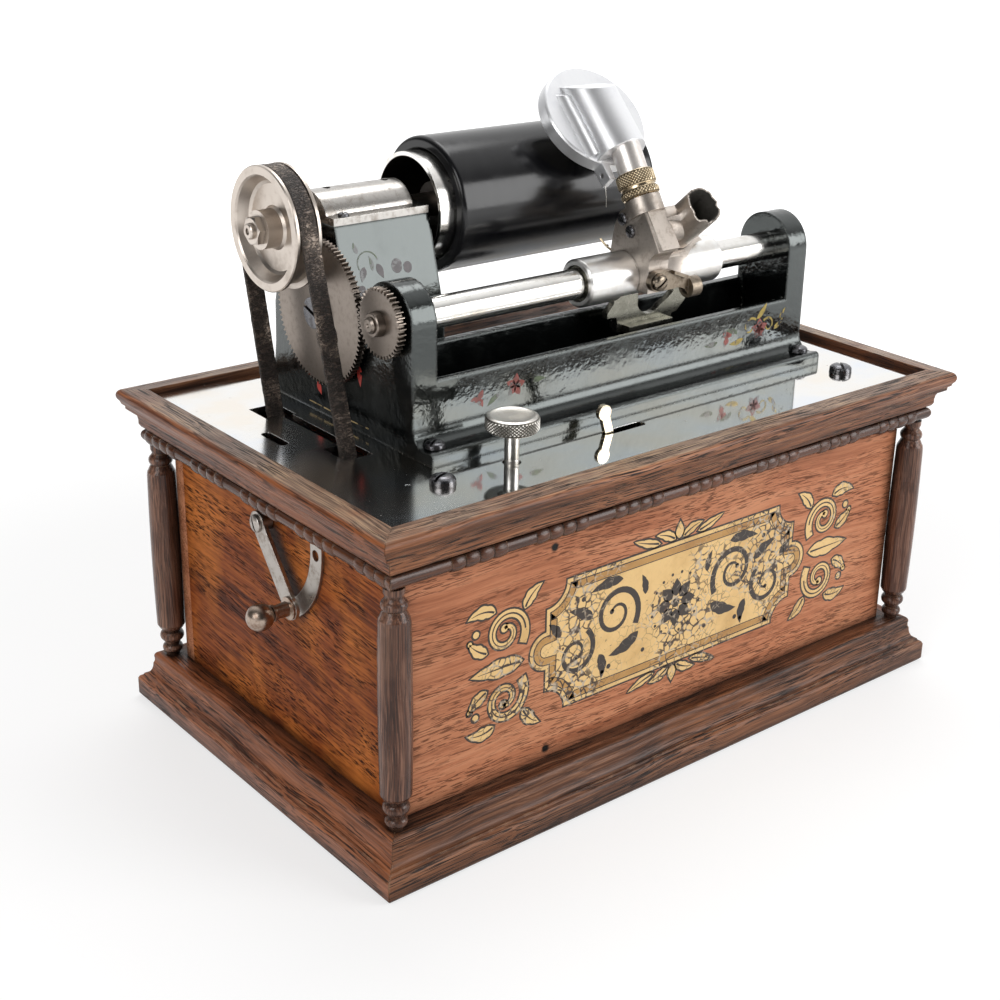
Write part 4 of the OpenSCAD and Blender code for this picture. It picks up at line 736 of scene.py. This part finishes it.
def makeSpeedScrew():
    s = speedScrew
    low, high, columns, depth = s['low'], s['high'], s['columns'], s['depth']
    inner = s['radius'] - depth
    bm = bmesh.new()
    knurl(bm, s['radius'], low, high, columns, s['rows'], depth)
    lathe(bm, [(inner, high), (inner - 0.1, high + 0.2), (inner - 0.5, high + 0.45)] + s['crown'], columns)
    lathe(bm, [(inner, low), (inner - 0.15, low - 0.3), (inner - 0.6, 12.92)] + s['stem'], columns)
    tidyMesh(bm, 0.01)
    look = dict(metalLooks['tubeNickel'], base=(0.7, 0.68, 0.64), rough=0.3, edge=0.06)
    axis = (Vector((*s['at'][:2], 0)) * mm, (0, 0, 1))
    finish = metalFinish('screwNickel', look, knurled=(*axis, s['radius'] * mm, depth * mm))
    mount(bm, 'speed_screw_knurled', 28, finish, 'speed', 'nickel', 'speed_screw', stand=Matrix.Translation(s['at']))


makeSpeedScrew()

# reproducer frame and neck frame, as the solids have them, and the knurled collar on the neck
reproducer = {
    'at': (26, 6.9, 251.4), 'tilt': 46, 'neckFrom': (0, -22, 5.8), 'neckLean': 13, 'collarTop': -9.4,
    'collarFoot': -20.4, 'collarRadius': 8.1, 'bore': 6.22, 'groove': 6, 'grooveWide': 1.2, 'columns': 66, 'depth': 0.4,
    'chamfer': 0.35, 'footTaper': 0.9, 'grooveEdge': 0.25,
}
discFrame = Matrix.Translation(reproducer['at']) @ spun(reproducer['tilt'], 'X')
neckFrame = discFrame @ Matrix.Translation(reproducer['neckFrom']) @ spun(reproducer['neckLean'], 'X')
upNeck = neckFrame @ spun(-90, 'X')  # local z runs up the neck


def makeCollar():
    c = reproducer
    r, top, foot, bore = c['collarRadius'], c['collarTop'], c['collarFoot'], c['bore']
    columns, depth, cut, taper, edge = c['columns'], c['depth'], c['chamfer'], c['footTaper'], c['grooveEdge']
    mid = top - c['groove']
    low = mid - c['grooveWide']
    inner = r - depth
    bm = bmesh.new()
    knurl(bm, r, mid + cut, top - cut, columns, 8, depth)
    knurl(bm, r, foot + taper, low - edge, columns, 4, depth)
    lathe(bm, [(inner, top - cut), (inner - cut, top), (bore, top), (bore, foot), (inner - taper, foot),
               (inner - 0.5, foot + 0.5), (inner, foot + taper)], columns)
    lathe(bm, [(inner, mid + cut), (inner - 0.2, mid), (r - 1.1, mid - 0.1), (r - 1.1, low + 0.1), (inner - 0.2, low),
               (inner, low - edge)], columns)
    tidyMesh(bm, 0.01)
    head = slotted(bm, 2.1, 1.5, 0.55, 0.75, 35)
    seat = Matrix.Translation((r - 0.9, 0, (mid + low) / 2)) @ spun(90, 'Y')
    bmesh.ops.transform(bm, matrix=seat, verts=head)
    axis = (upNeck.translation * mm, upNeck.to_3x3() @ Vector((0, 0, 1)))
    finish = metalFinish('collarBrass', dict(metalLooks['agedBrass'], edge=0.06), knurled=(*axis, r * mm, depth * mm))
    mount(bm, 'collar_knurled', 28, finish, 'arm', 'brass', 'clamp_collar', stand=upNeck)


makeCollar()

# bead rods: groups of four barrel rings, mitred at the corners, with a strip behind
bead = {
    'rod': 3.1, 'ring': 3.6, 'ringHalf': 2.85, 'pitch': 6.3, 'groupPitch': 38.5, 'height': 123.4, 'out': 2.5,
    'over': 12, 'strip': (8, 6.2, 3.2), 'stripUp': 1.8, 'spans': (140.8, 84.2), 'shifts': (8, 3),
    'turns': {'front': 0, 'left': -90, 'back': 180, 'right': 90},
}


def makeBead(side, turn, half, depth, shift, grain):
    b = bead
    low, high, wide = b['rod'], b['ring'], b['ringHalf']
    groups = 2 * int((half - shift) / b['groupPitch']) + 1
    outline = [(low, -half - b['over'])]
    for k in range(4 * groups):
        x = shift + (k // 4 - (groups - 1) / 2) * b['groupPitch'] + (k % 4 - 1.5) * b['pitch']
        outline += [(low - 0.25, x - wide - 0.25), (low + 0.1, x - wide), (high - 0.12, x - wide * 0.6), (high, x),
                    (high - 0.12, x + wide * 0.6), (low + 0.1, x + wide), (low - 0.25, x + wide + 0.25)]
    bm = bmesh.new()
    lathe(bm, outline + [(low, half + b['over'])], 20)
    rod = Matrix.Translation((0, -depth - b['out'], b['height']))
    bmesh.ops.transform(bm, matrix=rod @ spun(90, 'Y'), verts=bm.verts)
    more, back, tall = b['strip']
    strip = rod @ Matrix.Translation((0, back / 2, b['stripUp'])) @ Matrix.Diagonal((2 * half + more, back, tall, 1))
    bmesh.ops.create_cube(bm, size=1, matrix=strip)
    for end in (-1, 1):  # mitres
        cut = bmesh.ops.bisect_plane(bm, geom=bm.verts[:] + bm.edges[:] + bm.faces[:], plane_co=(end * half, -depth, 0),
                                     plane_no=(end, 1, 0), clear_outer=True)
        bmesh.ops.holes_fill(bm, edges=only(cut['geom_cut'], BMEdge), sides=0)
    tidyMesh(bm, 0.002)
    mount(bm, 'bead_%s_turned' % side, 35, oakFinish('bead_' + side, oakLooks[grain]), 'case', 'wood_dark',
          'bead_' + side, stand=spun(turn, 'Z'))


for side, turn in bead['turns'].items():
    if side in ('front', 'back'):
        makeBead(side, turn, *bead['spans'], bead['shifts'][0], 'beadX')
    else:
        makeBead(side, turn, *bead['spans'][::-1], bead['shifts'][1], 'beadY')
print('bead rods made')

# fillets where the air channel meets the disc
channel = {
    'radius': 11.4, 'up': 1.8, 'fillet': 4.2, 'foot': -19, 'head': 11.5, 'steps': 10, 'inside': 1.2, 'sunk': 0.3,
    'runOut': 0.9,
}


def makeFillets():
    c = channel
    size = c['fillet']
    # centre of a circle that touches the disc's face and the channel's side from outside
    reach = sqrt((c['radius'] + size) ** 2 - (size - c['up']) ** 2)
    sweep = atan2(c['up'] - size, -reach) % tau - tau + pi / 2  # from the disc's face round to the channel
    arc = []
    for k in range(c['steps'] + 1):
        a = sweep * k / c['steps'] - pi / 2
        arc.append((reach + size * cos(a), size + size * sin(a)))
    inner = arc[-1][0] - c['inside']
    outline = arc + [(inner, arc[-1][1] - 1), (inner, -c['sunk']), (reach, -c['sunk'])]
    bm = bmesh.new()
    for side in (-1, 1):
        face = bm.faces.new([bm.verts.new((side * x, c['foot'], z)) for x, z in outline])
        moved = only(bmesh.ops.extrude_face_region(bm, geom=[face])['geom'], BMVert)
        bmesh.ops.translate(bm, verts=moved, vec=(0, c['head'] - c['foot'], 0))
        for v in moved:  # the upper end runs out against the disc's face
            v.co.y -= max(0, v.co.z) * c['runOut']
    bmesh.ops.recalc_face_normals(bm, faces=bm.faces)
    mount(bm, 'channel_fillets', 35, finishes['aluminium'], 'arm', 'aluminium', stand=discFrame)


makeFillets()


# worn mouth of the horn socket
def makeWornHead():
    s, out, foot = hornSocket, hornWay, hornFoot
    bm = bmesh.new()
    bm.from_mesh(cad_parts['carriage_head'].data)
    bmesh.ops.remove_doubles(bm, verts=bm.verts, dist=0.002 * mm)
    far = lambda v: (v.co - foot).dot(out) > (s['length'] - 0.3) * mm
    bmesh.ops.subdivide_edges(bm, edges=[e for e in bm.edges if all(map(far, e.verts))], cuts=1)
    side = Vector((1, 0, 0))
    over = out.cross(side)
    for v in [v for v in bm.verts if far(v)]:
        away = v.co - foot - out * (v.co - foot).dot(out)
        turn = atan2(away.dot(over), away.dot(side))
        bite = noise.noise((cos(turn) * 2.1 + 4, sin(turn) * 2.1, 1.3)) * 0.5 + 0.5
        jag = noise.noise((cos(turn) * 6, sin(turn) * 6 + 2, 7.7)) * 0.5 + 0.5
        v.co -= out * s['chip'] * mm * max(0, bite * 1.1 + jag * 0.7 - 0.72)
    bmesh.ops.recalc_face_normals(bm, faces=bm.faces)
    mount(bm, 'carriage_head_worn', 13, finishes['headNickel'], 'arm', 'dull_nickel', 'carriage_head')


makeWornHead()
print('belt, knurled pieces, fillets and worn head made')


# painted and gilded marks: flat outlines made into thin slabs
def leafOutline(base, turn, length, width, bend=0, steps=12, lobes=0):
    left, right = [], []
    for k in range(steps + 1):
        t = k / steps
        a = turn + bend * t
        x = base[0] + length * t * cos(turn + bend * t * 0.5)
        y = base[1] + length * t * sin(turn + bend * t * 0.5)
        w = width * sin(pi * t ** 0.75) * 0.5
        if lobes:
            w *= 0.82 + 0.18 * abs(sin(pi * lobes * t))
        left.append((x - w * sin(a), y + w * cos(a)))
        right.append((x + w * sin(a), y - w * cos(a)))
    return left[1:] + right[-2:0:-1] + [base]


def bandOutline(path, wide, narrow):  # tapered band along a path
    left, right = [], []
    for k, p in enumerate(path):
        q0, q1 = path[max(0, k - 1)], path[min(len(path) - 1, k + 1)]
        d = Vector((q1[0] - q0[0], q1[1] - q0[1])).normalized()
        t = k / (len(path) - 1)
        w = 0.5 * (wide + (narrow - wide) * t)
        left.append((p[0] - d.y * w, p[1] + d.x * w))
        right.append((p[0] + d.y * w, p[1] - d.x * w))
    return left + right[::-1]


def ringOutline(x, y, wide, high, steps):  # wide and high are radii
    return [(x + wide * cos(tau * k / steps), y + high * sin(tau * k / steps)) for k in range(steps)]


def scrollPath(centre, radius, start, turns, shrink, steps=44):  # spiral from outside inwards
    points = []
    for k in range(steps + 1):
        t = k / steps
        r = radius * (1 - (1 - shrink) * t ** 0.8)
        a = radians(start) + tau * turns * t
        points.append((centre[0] + r * cos(a), centre[1] + r * sin(a)))
    return points


def addCurve(bm, curve):  # a curve's mesh into a bmesh
    holder = bpy.data.objects.new('outline', curve)
    scene.collection.objects.link(holder)
    bpy.context.view_layer.update()
    mesh = bpy.data.meshes.new_from_object(holder)
    bm.from_mesh(mesh)
    bpy.data.objects.remove(holder)
    bpy.data.curves.remove(curve)
    bpy.data.meshes.remove(mesh)


def slabs(name, loops, stand, lift, thick, finish, slot, rings=()):
    bm = bmesh.new()
    for pair in rings:  # a band between two like outlines
        edges = []
        for loop in pair:
            verts = [bm.verts.new((x, y, -thick / 2)) for x, y in loop]
            edges += [bm.edges.new(ends) for ends in zip(verts, verts[1:] + verts[:1])]
        band = bmesh.ops.bridge_loops(bm, edges=edges)['faces']
        made = bmesh.ops.extrude_face_region(bm, geom=band)['geom']
        bmesh.ops.translate(bm, verts=only(made, BMVert), vec=(0, 0, thick))
        bmesh.ops.recalc_face_normals(bm, faces=bm.faces)
    for loop in loops:
        curve = bpy.data.curves.new('outline', 'CURVE')
        curve.dimensions = '2D'
        curve.fill_mode = 'BOTH'
        curve.extrude = thick / 2
        spline = curve.splines.new('POLY')
        spline.points.add(len(loop) - 1)
        for point, (x, y) in zip(spline.points, loop):
            point.co = (x, y, 0, 1)
        spline.use_cyclic_u = True
        addCurve(bm, curve)
    bmesh.ops.remove_doubles(bm, verts=bm.verts, dist=0.0005)
    mount(bm, name, None, finish, 'case', slot, stand=stand @ Matrix.Translation((0, 0, lift)))


def grown(loop, by):  # outline moved outwards, with mitred corners
    area = sum(a[0] * b[1] - b[0] * a[1] for a, b in zip(loop, loop[1:] + loop[:1]))
    sign = 1 if area > 0 else -1
    out = []
    for k, p in enumerate(loop):
        here = Vector(p)
        before, after = here - Vector(loop[k - 1]), Vector(loop[(k + 1) % len(loop)]) - here
        if before.length < 1e-6 or after.length < 1e-6:
            continue
        n1 = Vector((before.y, -before.x)).normalized() * sign
        n2 = Vector((after.y, -after.x)).normalized() * sign
        step = (n1 + n2) / max(0.45, 1 + n1.dot(n2))
        out.append(tuple(here + step * by))
    return out


def gildFinish(name, bright, deep, cracked):
    finish, wire, place = newFinish(name)
    swirl = wire.add('TexNoise', None, {'Vector': place, 'Scale': 160, 'Detail': 2}, 'Color')
    moved = vec('MULTIPLY_ADD', swirl, (0.004, 0.004, 0.004), place)
    cell = wire.add('TexVoronoi', {'feature': 'DISTANCE_TO_EDGE'}, {'Vector': moved, 'Scale': 280}, 'Distance')
    zone = ease(grit(place, 26, 2), 0.4, 0.6)
    cracks = ease(cell, zone * 0.1 + 0.02, zone * 0.05) * (zone * 0.9 + 0.1) * cracked
    tone = grit(place, 40, 4, 0.6)
    colour = ramp(tone, [(0.28, deep), (0.52, bright), (0.8, [c * 1.06 for c in bright])])
    lost = ease(grit(place, 420, 3, 0.6), 0.62, 0.68) * ease(grit(place, 24, 2), 0.4, 0.62) * cracked
    colour = tint(lost, colour, (0.13, 0.062, 0.034))
    pale = ease(grit(place, 260, 2), 0.45, 0.6)
    colour = tint(cracks, colour, tint(pale, (0.055, 0.03, 0.018), (0.62, 0.5, 0.36)))
    normal = bumped(tone * 0.3 - cracks * 0.7, 0.3, 0.08 * mm)
    return coated(finish, colour, 0.42 + (tone - 0.5) * 0.2, {'Metallic': 0.15, 'Normal': normal, 'Coat Weight': 0.2,
                                                              'Coat Roughness': 0.25})


# gilded plaque on the front: a rosette and scrolls on gold, with leafy lyres at both ends
plaque = {
    'centre': (1, 69.5), 'half': (69, 27.5), 'bite': 10, 'bulge': 8, 'petals': 8, 'petal': 11,
    'faceY': -80.4, 'outline': 0.8, 'border': 1.6, 'shade': 2.6, 'shrink': 0.22, 'dots': 16, 'dotRing': 13.4,
}


def plaqueOutline():  # a label with hollow corners and rounded ends
    (a, b), c, r = plaque['half'], plaque['bite'], plaque['bulge']
    loop = []
    for x, y, radius, start, end, steps in (
            (a, 0, r, -90, 90, 20), (a, b, c, 270, 180, 12), (-a, b, c, 0, -90, 12), (-a, 0, r, 90, 270, 20),
            (-a, -b, c, 90, 0, 12), (a, -b, c, 180, 90, 12)):
        for k in range(steps + 1):
            t = radians(start + (end - start) * k / steps)
            loop.append((x + radius * cos(t), y + radius * sin(t)))
    return loop


def plaqueShapes():
    s = plaque
    gold, ink, half, halfInk = [], [], [], []

    def scroll(target, veins, centre, radius, start, turns, wide, narrow):
        path = scrollPath(centre, radius, start, turns, s['shrink'])
        target.append(bandOutline(path, wide, narrow))
        target.append(ringOutline(*path[-1], narrow * 1.15, narrow * 1.15, 16))
        if veins is not None:
            veins.append(bandOutline(path[3:-6], wide * 0.2, narrow * 0.12))

    def leaf(target, veins, base, turn, length, width, bend=0):
        turn, bend = radians(turn), radians(bend)
        target.append(leafOutline(base, turn, length, width, bend, 18, 3))
        if veins is None:
            return
        mid = []
        for k in range(9):
            t = 0.06 + 0.8 * k / 8
            a = turn + bend * t * 0.5
            mid.append((base[0] + length * t * cos(a), base[1] + length * t * sin(a)))
        veins.append(bandOutline(mid, 0.95, 0.15))

    eye = 3  # radius where the rosette's petals start
    for k in range(s['petals']):
        a = tau * k / s['petals']
        ink.append(leafOutline((eye * cos(a), eye * sin(a)), a, s['petal'] - eye, 5.6))
    ink.append(ringOutline(0, 0, 2.1, 2.1, 24))
    for k in range(s['dots']):
        a = tau * (k + 0.5) / s['dots']
        ink.append(ringOutline(s['dotRing'] * cos(a), s['dotRing'] * sin(a), 0.7, 0.7, 10))
    # ink scrolls on the gold ground
    scroll(halfInk, None, (33, 5), 13, 215, -1.5, 3, 1)
    scroll(halfInk, None, (54, -6), 10.5, 125, 1.4, 2.6, 0.9)
    for row in (((20.5, -6.5), -42, 17, 6, 40), ((30, 19.5), 8, 17, 5, -26), ((45.5, 6.5), 48, 14, 5.2, -40),
                ((41.5, -10.5), -122, 11.5, 4.8, 48), ((62, 3.5), 66, 9.5, 4.2, -30), ((17.5, 9), 96, 9.5, 3.6, -40)):
        leaf(halfInk, None, *row)
    for x, y, r in ((36, -17.5, 1.1), (39.4, -19, 0.9), (50.5, 16.5, 1.1), (53.8, 17.6, 0.9), (17.5, -16, 1)):
        halfInk.append(ringOutline(x, y, r, r, 12))
    # gold lyres past the ends
    scroll(half, halfInk, (89, 14), 10.5, 218, -1.4, 3.7, 1.4)
    scroll(half, halfInk, (89, -14), 10.5, 142, 1.4, 3.7, 1.4)
    leaf(half, halfInk, (80.5, 0), 0, 25, 8)
    for way in (1, -1):
        for x, y, turn, length, width, bend in ((97.5, 8, 20, 11, 5.2, 34), (94, 24, 30, 13, 5.6, -58),
                                                (80, 21.5, 112, 12, 5.2, 46)):
            leaf(half, halfInk, (x, y * way), turn * way, length, width, bend * way)
        half.append(ringOutline(103, 17.5 * way, 1.4, 1.4, 14))
        half.append(ringOutline(105.8, 14.4 * way, 1, 1, 12))
    # small crests over and under
    for way in (1, -1):
        leaf(half, halfInk, (2.2, 28.9 * way), 38 * way, 11.5, 4.2, -34 * way)
        leaf(half, halfInk, (10.5, 29.2 * way), 12 * way, 15, 3.6, 10 * way)
        gold.append(leafOutline((0, 28.8 * way), pi / 2 * way, 7.5, 4.2))
    for mirror in (1, -1):
        for source, target in ((half, gold), (halfInk, ink)):
            target += [[(mirror * x, y) for x, y in loop][::mirror] for loop in source]
    return gold, ink


def makePlaque():
    s = plaque
    cx, cy = s['centre']
    gold, ink = plaqueShapes()
    ground = plaqueOutline()
    wall = Matrix.Translation((cx, s['faceY'], cy)) @ spun(90, 'X')
    leafGold = gildFinish('leafGold', (0.9, 0.6, 0.25), (0.7, 0.42, 0.145), 1)
    shadeGold = gildFinish('shadeGold', (0.56, 0.3, 0.085), (0.4, 0.19, 0.05), 1)
    inkBrown = gildFinish('inkBrown', (0.03, 0.019, 0.013), (0.018, 0.011, 0.008), 0.6)
    inset = lambda by: grown(ground, -s['border'] - by)
    band = s['shade']
    slabs('plaque_outline', [grown(l, s['outline']) for l in [ground] + gold], wall, 0.03, 0.05, inkBrown, 'wood_mid')
    slabs('plaque_gold', [ground] + gold, wall, 0.07, 0.05, leafGold, 'brass')
    slabs('plaque_shade', [], wall, 0.11, 0.04, shadeGold, 'brass', [(inset(0.6), inset(0.6 + band))])
    slabs('plaque_ink', ink, wall, 0.12, 0.05, inkBrown, 'wood_mid',
          [(inset(0), inset(0.5)), (inset(0.7 + band), inset(1.1 + band))])


makePlaque()

# worn flower painting on the black casting
flowers = {
    'apronY': -34.4, 'standAt': (0, 5.6, 179.6), 'standFace': (39.4, 10.6), 'cheekX': -97, 'thick': 0.06,
    'paints': {
        'wornYellow': ((0.5, 0.36, 0.055), 0.85), 'wornRed': ((0.3, 0.045, 0.03), 0.7),
        'wornGreen': ((0.075, 0.115, 0.045), 0.7), 'wornPlum': ((0.085, 0.062, 0.068), 0.95),
        'brightRed': ((0.62, 0.055, 0.04), 1), 'giltLine': ((0.5, 0.36, 0.16), 0.8),
    },
}


def paintFinish(name, colour, keep):
    finish, _, place = newFinish(name)
    tone = grit(place, 300, 4, 0.65)
    left = ease(grit(place, 210, 4, 0.65), 0.62 - keep * 0.25, 0.7 - keep * 0.25)
    dark = (0.01, 0.01, 0.01)
    body = ramp(tone, [(0.3, [c * 0.45 for c in colour]), (0.65, colour)])
    normal = bumped(tone * 0.4 + left * 0.6, 0.3, 0.08 * mm)
    return coated(finish, tint(left, dark, body), 0.22 + left * 0.2, {'Normal': normal, 'IOR': 1.6})


def leaves(*rows):  # each row: foot, direction in degrees, length, width, bend
    return [leafOutline(foot, radians(turn), *rest) for foot, turn, *rest in rows]


def petals(foot, turns, length, width):
    return leaves(*((foot, turn, length, width) for turn in turns))


def curl(centre, radius, start, turns, shrink, wide, narrow):
    return bandOutline(scrollPath(centre, radius, start, turns, shrink), wide, narrow)


def makeFlowers():
    f = flowers
    apron = Matrix.Translation((0, f['apronY'], 0)) @ spun(90, 'X')
    tall, deep = f['standFace']
    stand = Matrix.Translation(f['standAt']) @ spun(90 - degrees(atan2(deep, tall)), 'X')
    cheek = Matrix.Translation((f['cheekX'], 0, 0)) @ spun(-90, 'Z') @ spun(90, 'X')  # x to the front, y up
    marks = (
        ('apron_scrolls', 'wornYellow', apron, 0.05,
         [curl((84, 160.2), 4.6, 40, 0.8, 0.35, 1.1, 0.5), curl((95.5, 159.4), 4, 140, -0.85, 0.35, 1, 0.45)]
         + leaves(((88, 163.4), 35, 9, 2.6, 0.5), ((99, 157), 20, 7.5, 2.2, 0.6), ((80, 156), 205, 9, 2.4, -0.6),
                  ((103, 161), 70, 5.5, 1.8, -0.5))),
        ('apron_petals', 'wornRed', apron, 0.03,
         petals((90, 158.5), range(20, 360, 72), 5.2, 3.4) + petals((70, 158), (50, 130, 250), 4.6, 3)
         + petals((-48, 160), range(10, 360, 72), 5, 3.2) + petals((-66, 158), (60, 180, 300), 4, 2.6)),
        ('apron_leaves', 'wornGreen', apron, 0.05,
         leaves(((76, 159), 150, 7.5, 2.6, 0.4), ((64, 157), 195, 8, 2.4, -0.4), ((-56, 158), 200, 7, 2.3, 0.5),
                ((-40, 160), 15, 7.5, 2.3, -0.5))),
        ('stand_stems', 'wornGreen', stand, 0.05,
         [curl((-85, 25), 5.2, 10, 0.55, 0.8, 0.6, 0.45)]
         + leaves(((-88.5, 29.5), 120, 4.6, 2, -0.5), ((-83, 22), 80, 6, 1.8, 0.6))),
        ('stand_berries', 'wornPlum', stand, 0.05,
         [ringOutline(-71.5, 22.4, 2.5, 2.9, 20), ringOutline(-66.6, 21.2, 2, 2.3, 20),
          ringOutline(-89, 15, 1.9, 2.2, 18)] + leaves(((-86.5, 24), 250, 6, 3), ((-80.5, 24.5), 290, 6.4, 3))),
        ('cheek_spots', 'brightRed', cheek, 0.05,
         leaves(((-30.6, 153.2), -60, 5.4, 3), ((-0.4, 168.4), -95, 9, 3.2, 0.3))),
        ('cheek_line', 'giltLine', cheek, 0.05,
         [bandOutline([(-37, 143.6), (-20, 143.4), (-4, 143.6), (5, 143.8)], 0.5, 0.5)]),
    )
    paints = {name: paintFinish(name, *paint) for name, paint in f['paints'].items()}
    for name, paint, wall, lift, loops in marks:
        slabs(name, loops, wall, lift, f['thick'], paints[paint], 'japan')


makeFlowers()
print('painted marks made')

# thin wire from the reproducer's lug, and a split pin behind the arm
wires = {
    'lug': (-8, -27, -3.8), 'lugPath': ((0, 0, 1), (-0.6, -0.8, -2.5), (0.4, -0.4, -8), (1.6, 0.6, -12.5)),
    'lugRadius': 0.28, 'pin': ((23.5, -9, 198), (21.8, -7.6, 199.6)), 'pinRadius': 0.5,
    'pinTips': ((20.8, -4.4, 202.4), (20.2, -9.8, 200.8)),
}


def wirePiece(name, points, radius, finish, slot):
    curve = bpy.data.curves.new('wire', 'CURVE')
    curve.dimensions = '3D'
    curve.bevel_depth = radius
    curve.bevel_resolution = 3
    curve.use_fill_caps = True
    spline = curve.splines.new('BEZIER')
    spline.bezier_points.add(len(points) - 1)
    for point, at in zip(spline.bezier_points, points):
        point.co = at
        point.handle_left_type = point.handle_right_type = 'AUTO'
    bm = bmesh.new()
    addCurve(bm, curve)
    mount(bm, name, 40, finish, 'arm', slot, stand=Matrix())


lug = discFrame @ Vector(wires['lug'])
wirePiece('lug_wire', [lug + Vector(step) for step in wires['lugPath']], wires['lugRadius'], finishes['tubeNickel'],
          'nickel')
for tip in wires['pinTips']:
    wirePiece('split_pin_%d' % abs(round(tip[1])), [*wires['pin'], tip], wires['pinRadius'], finishes['agedBrass'],
              'brass')
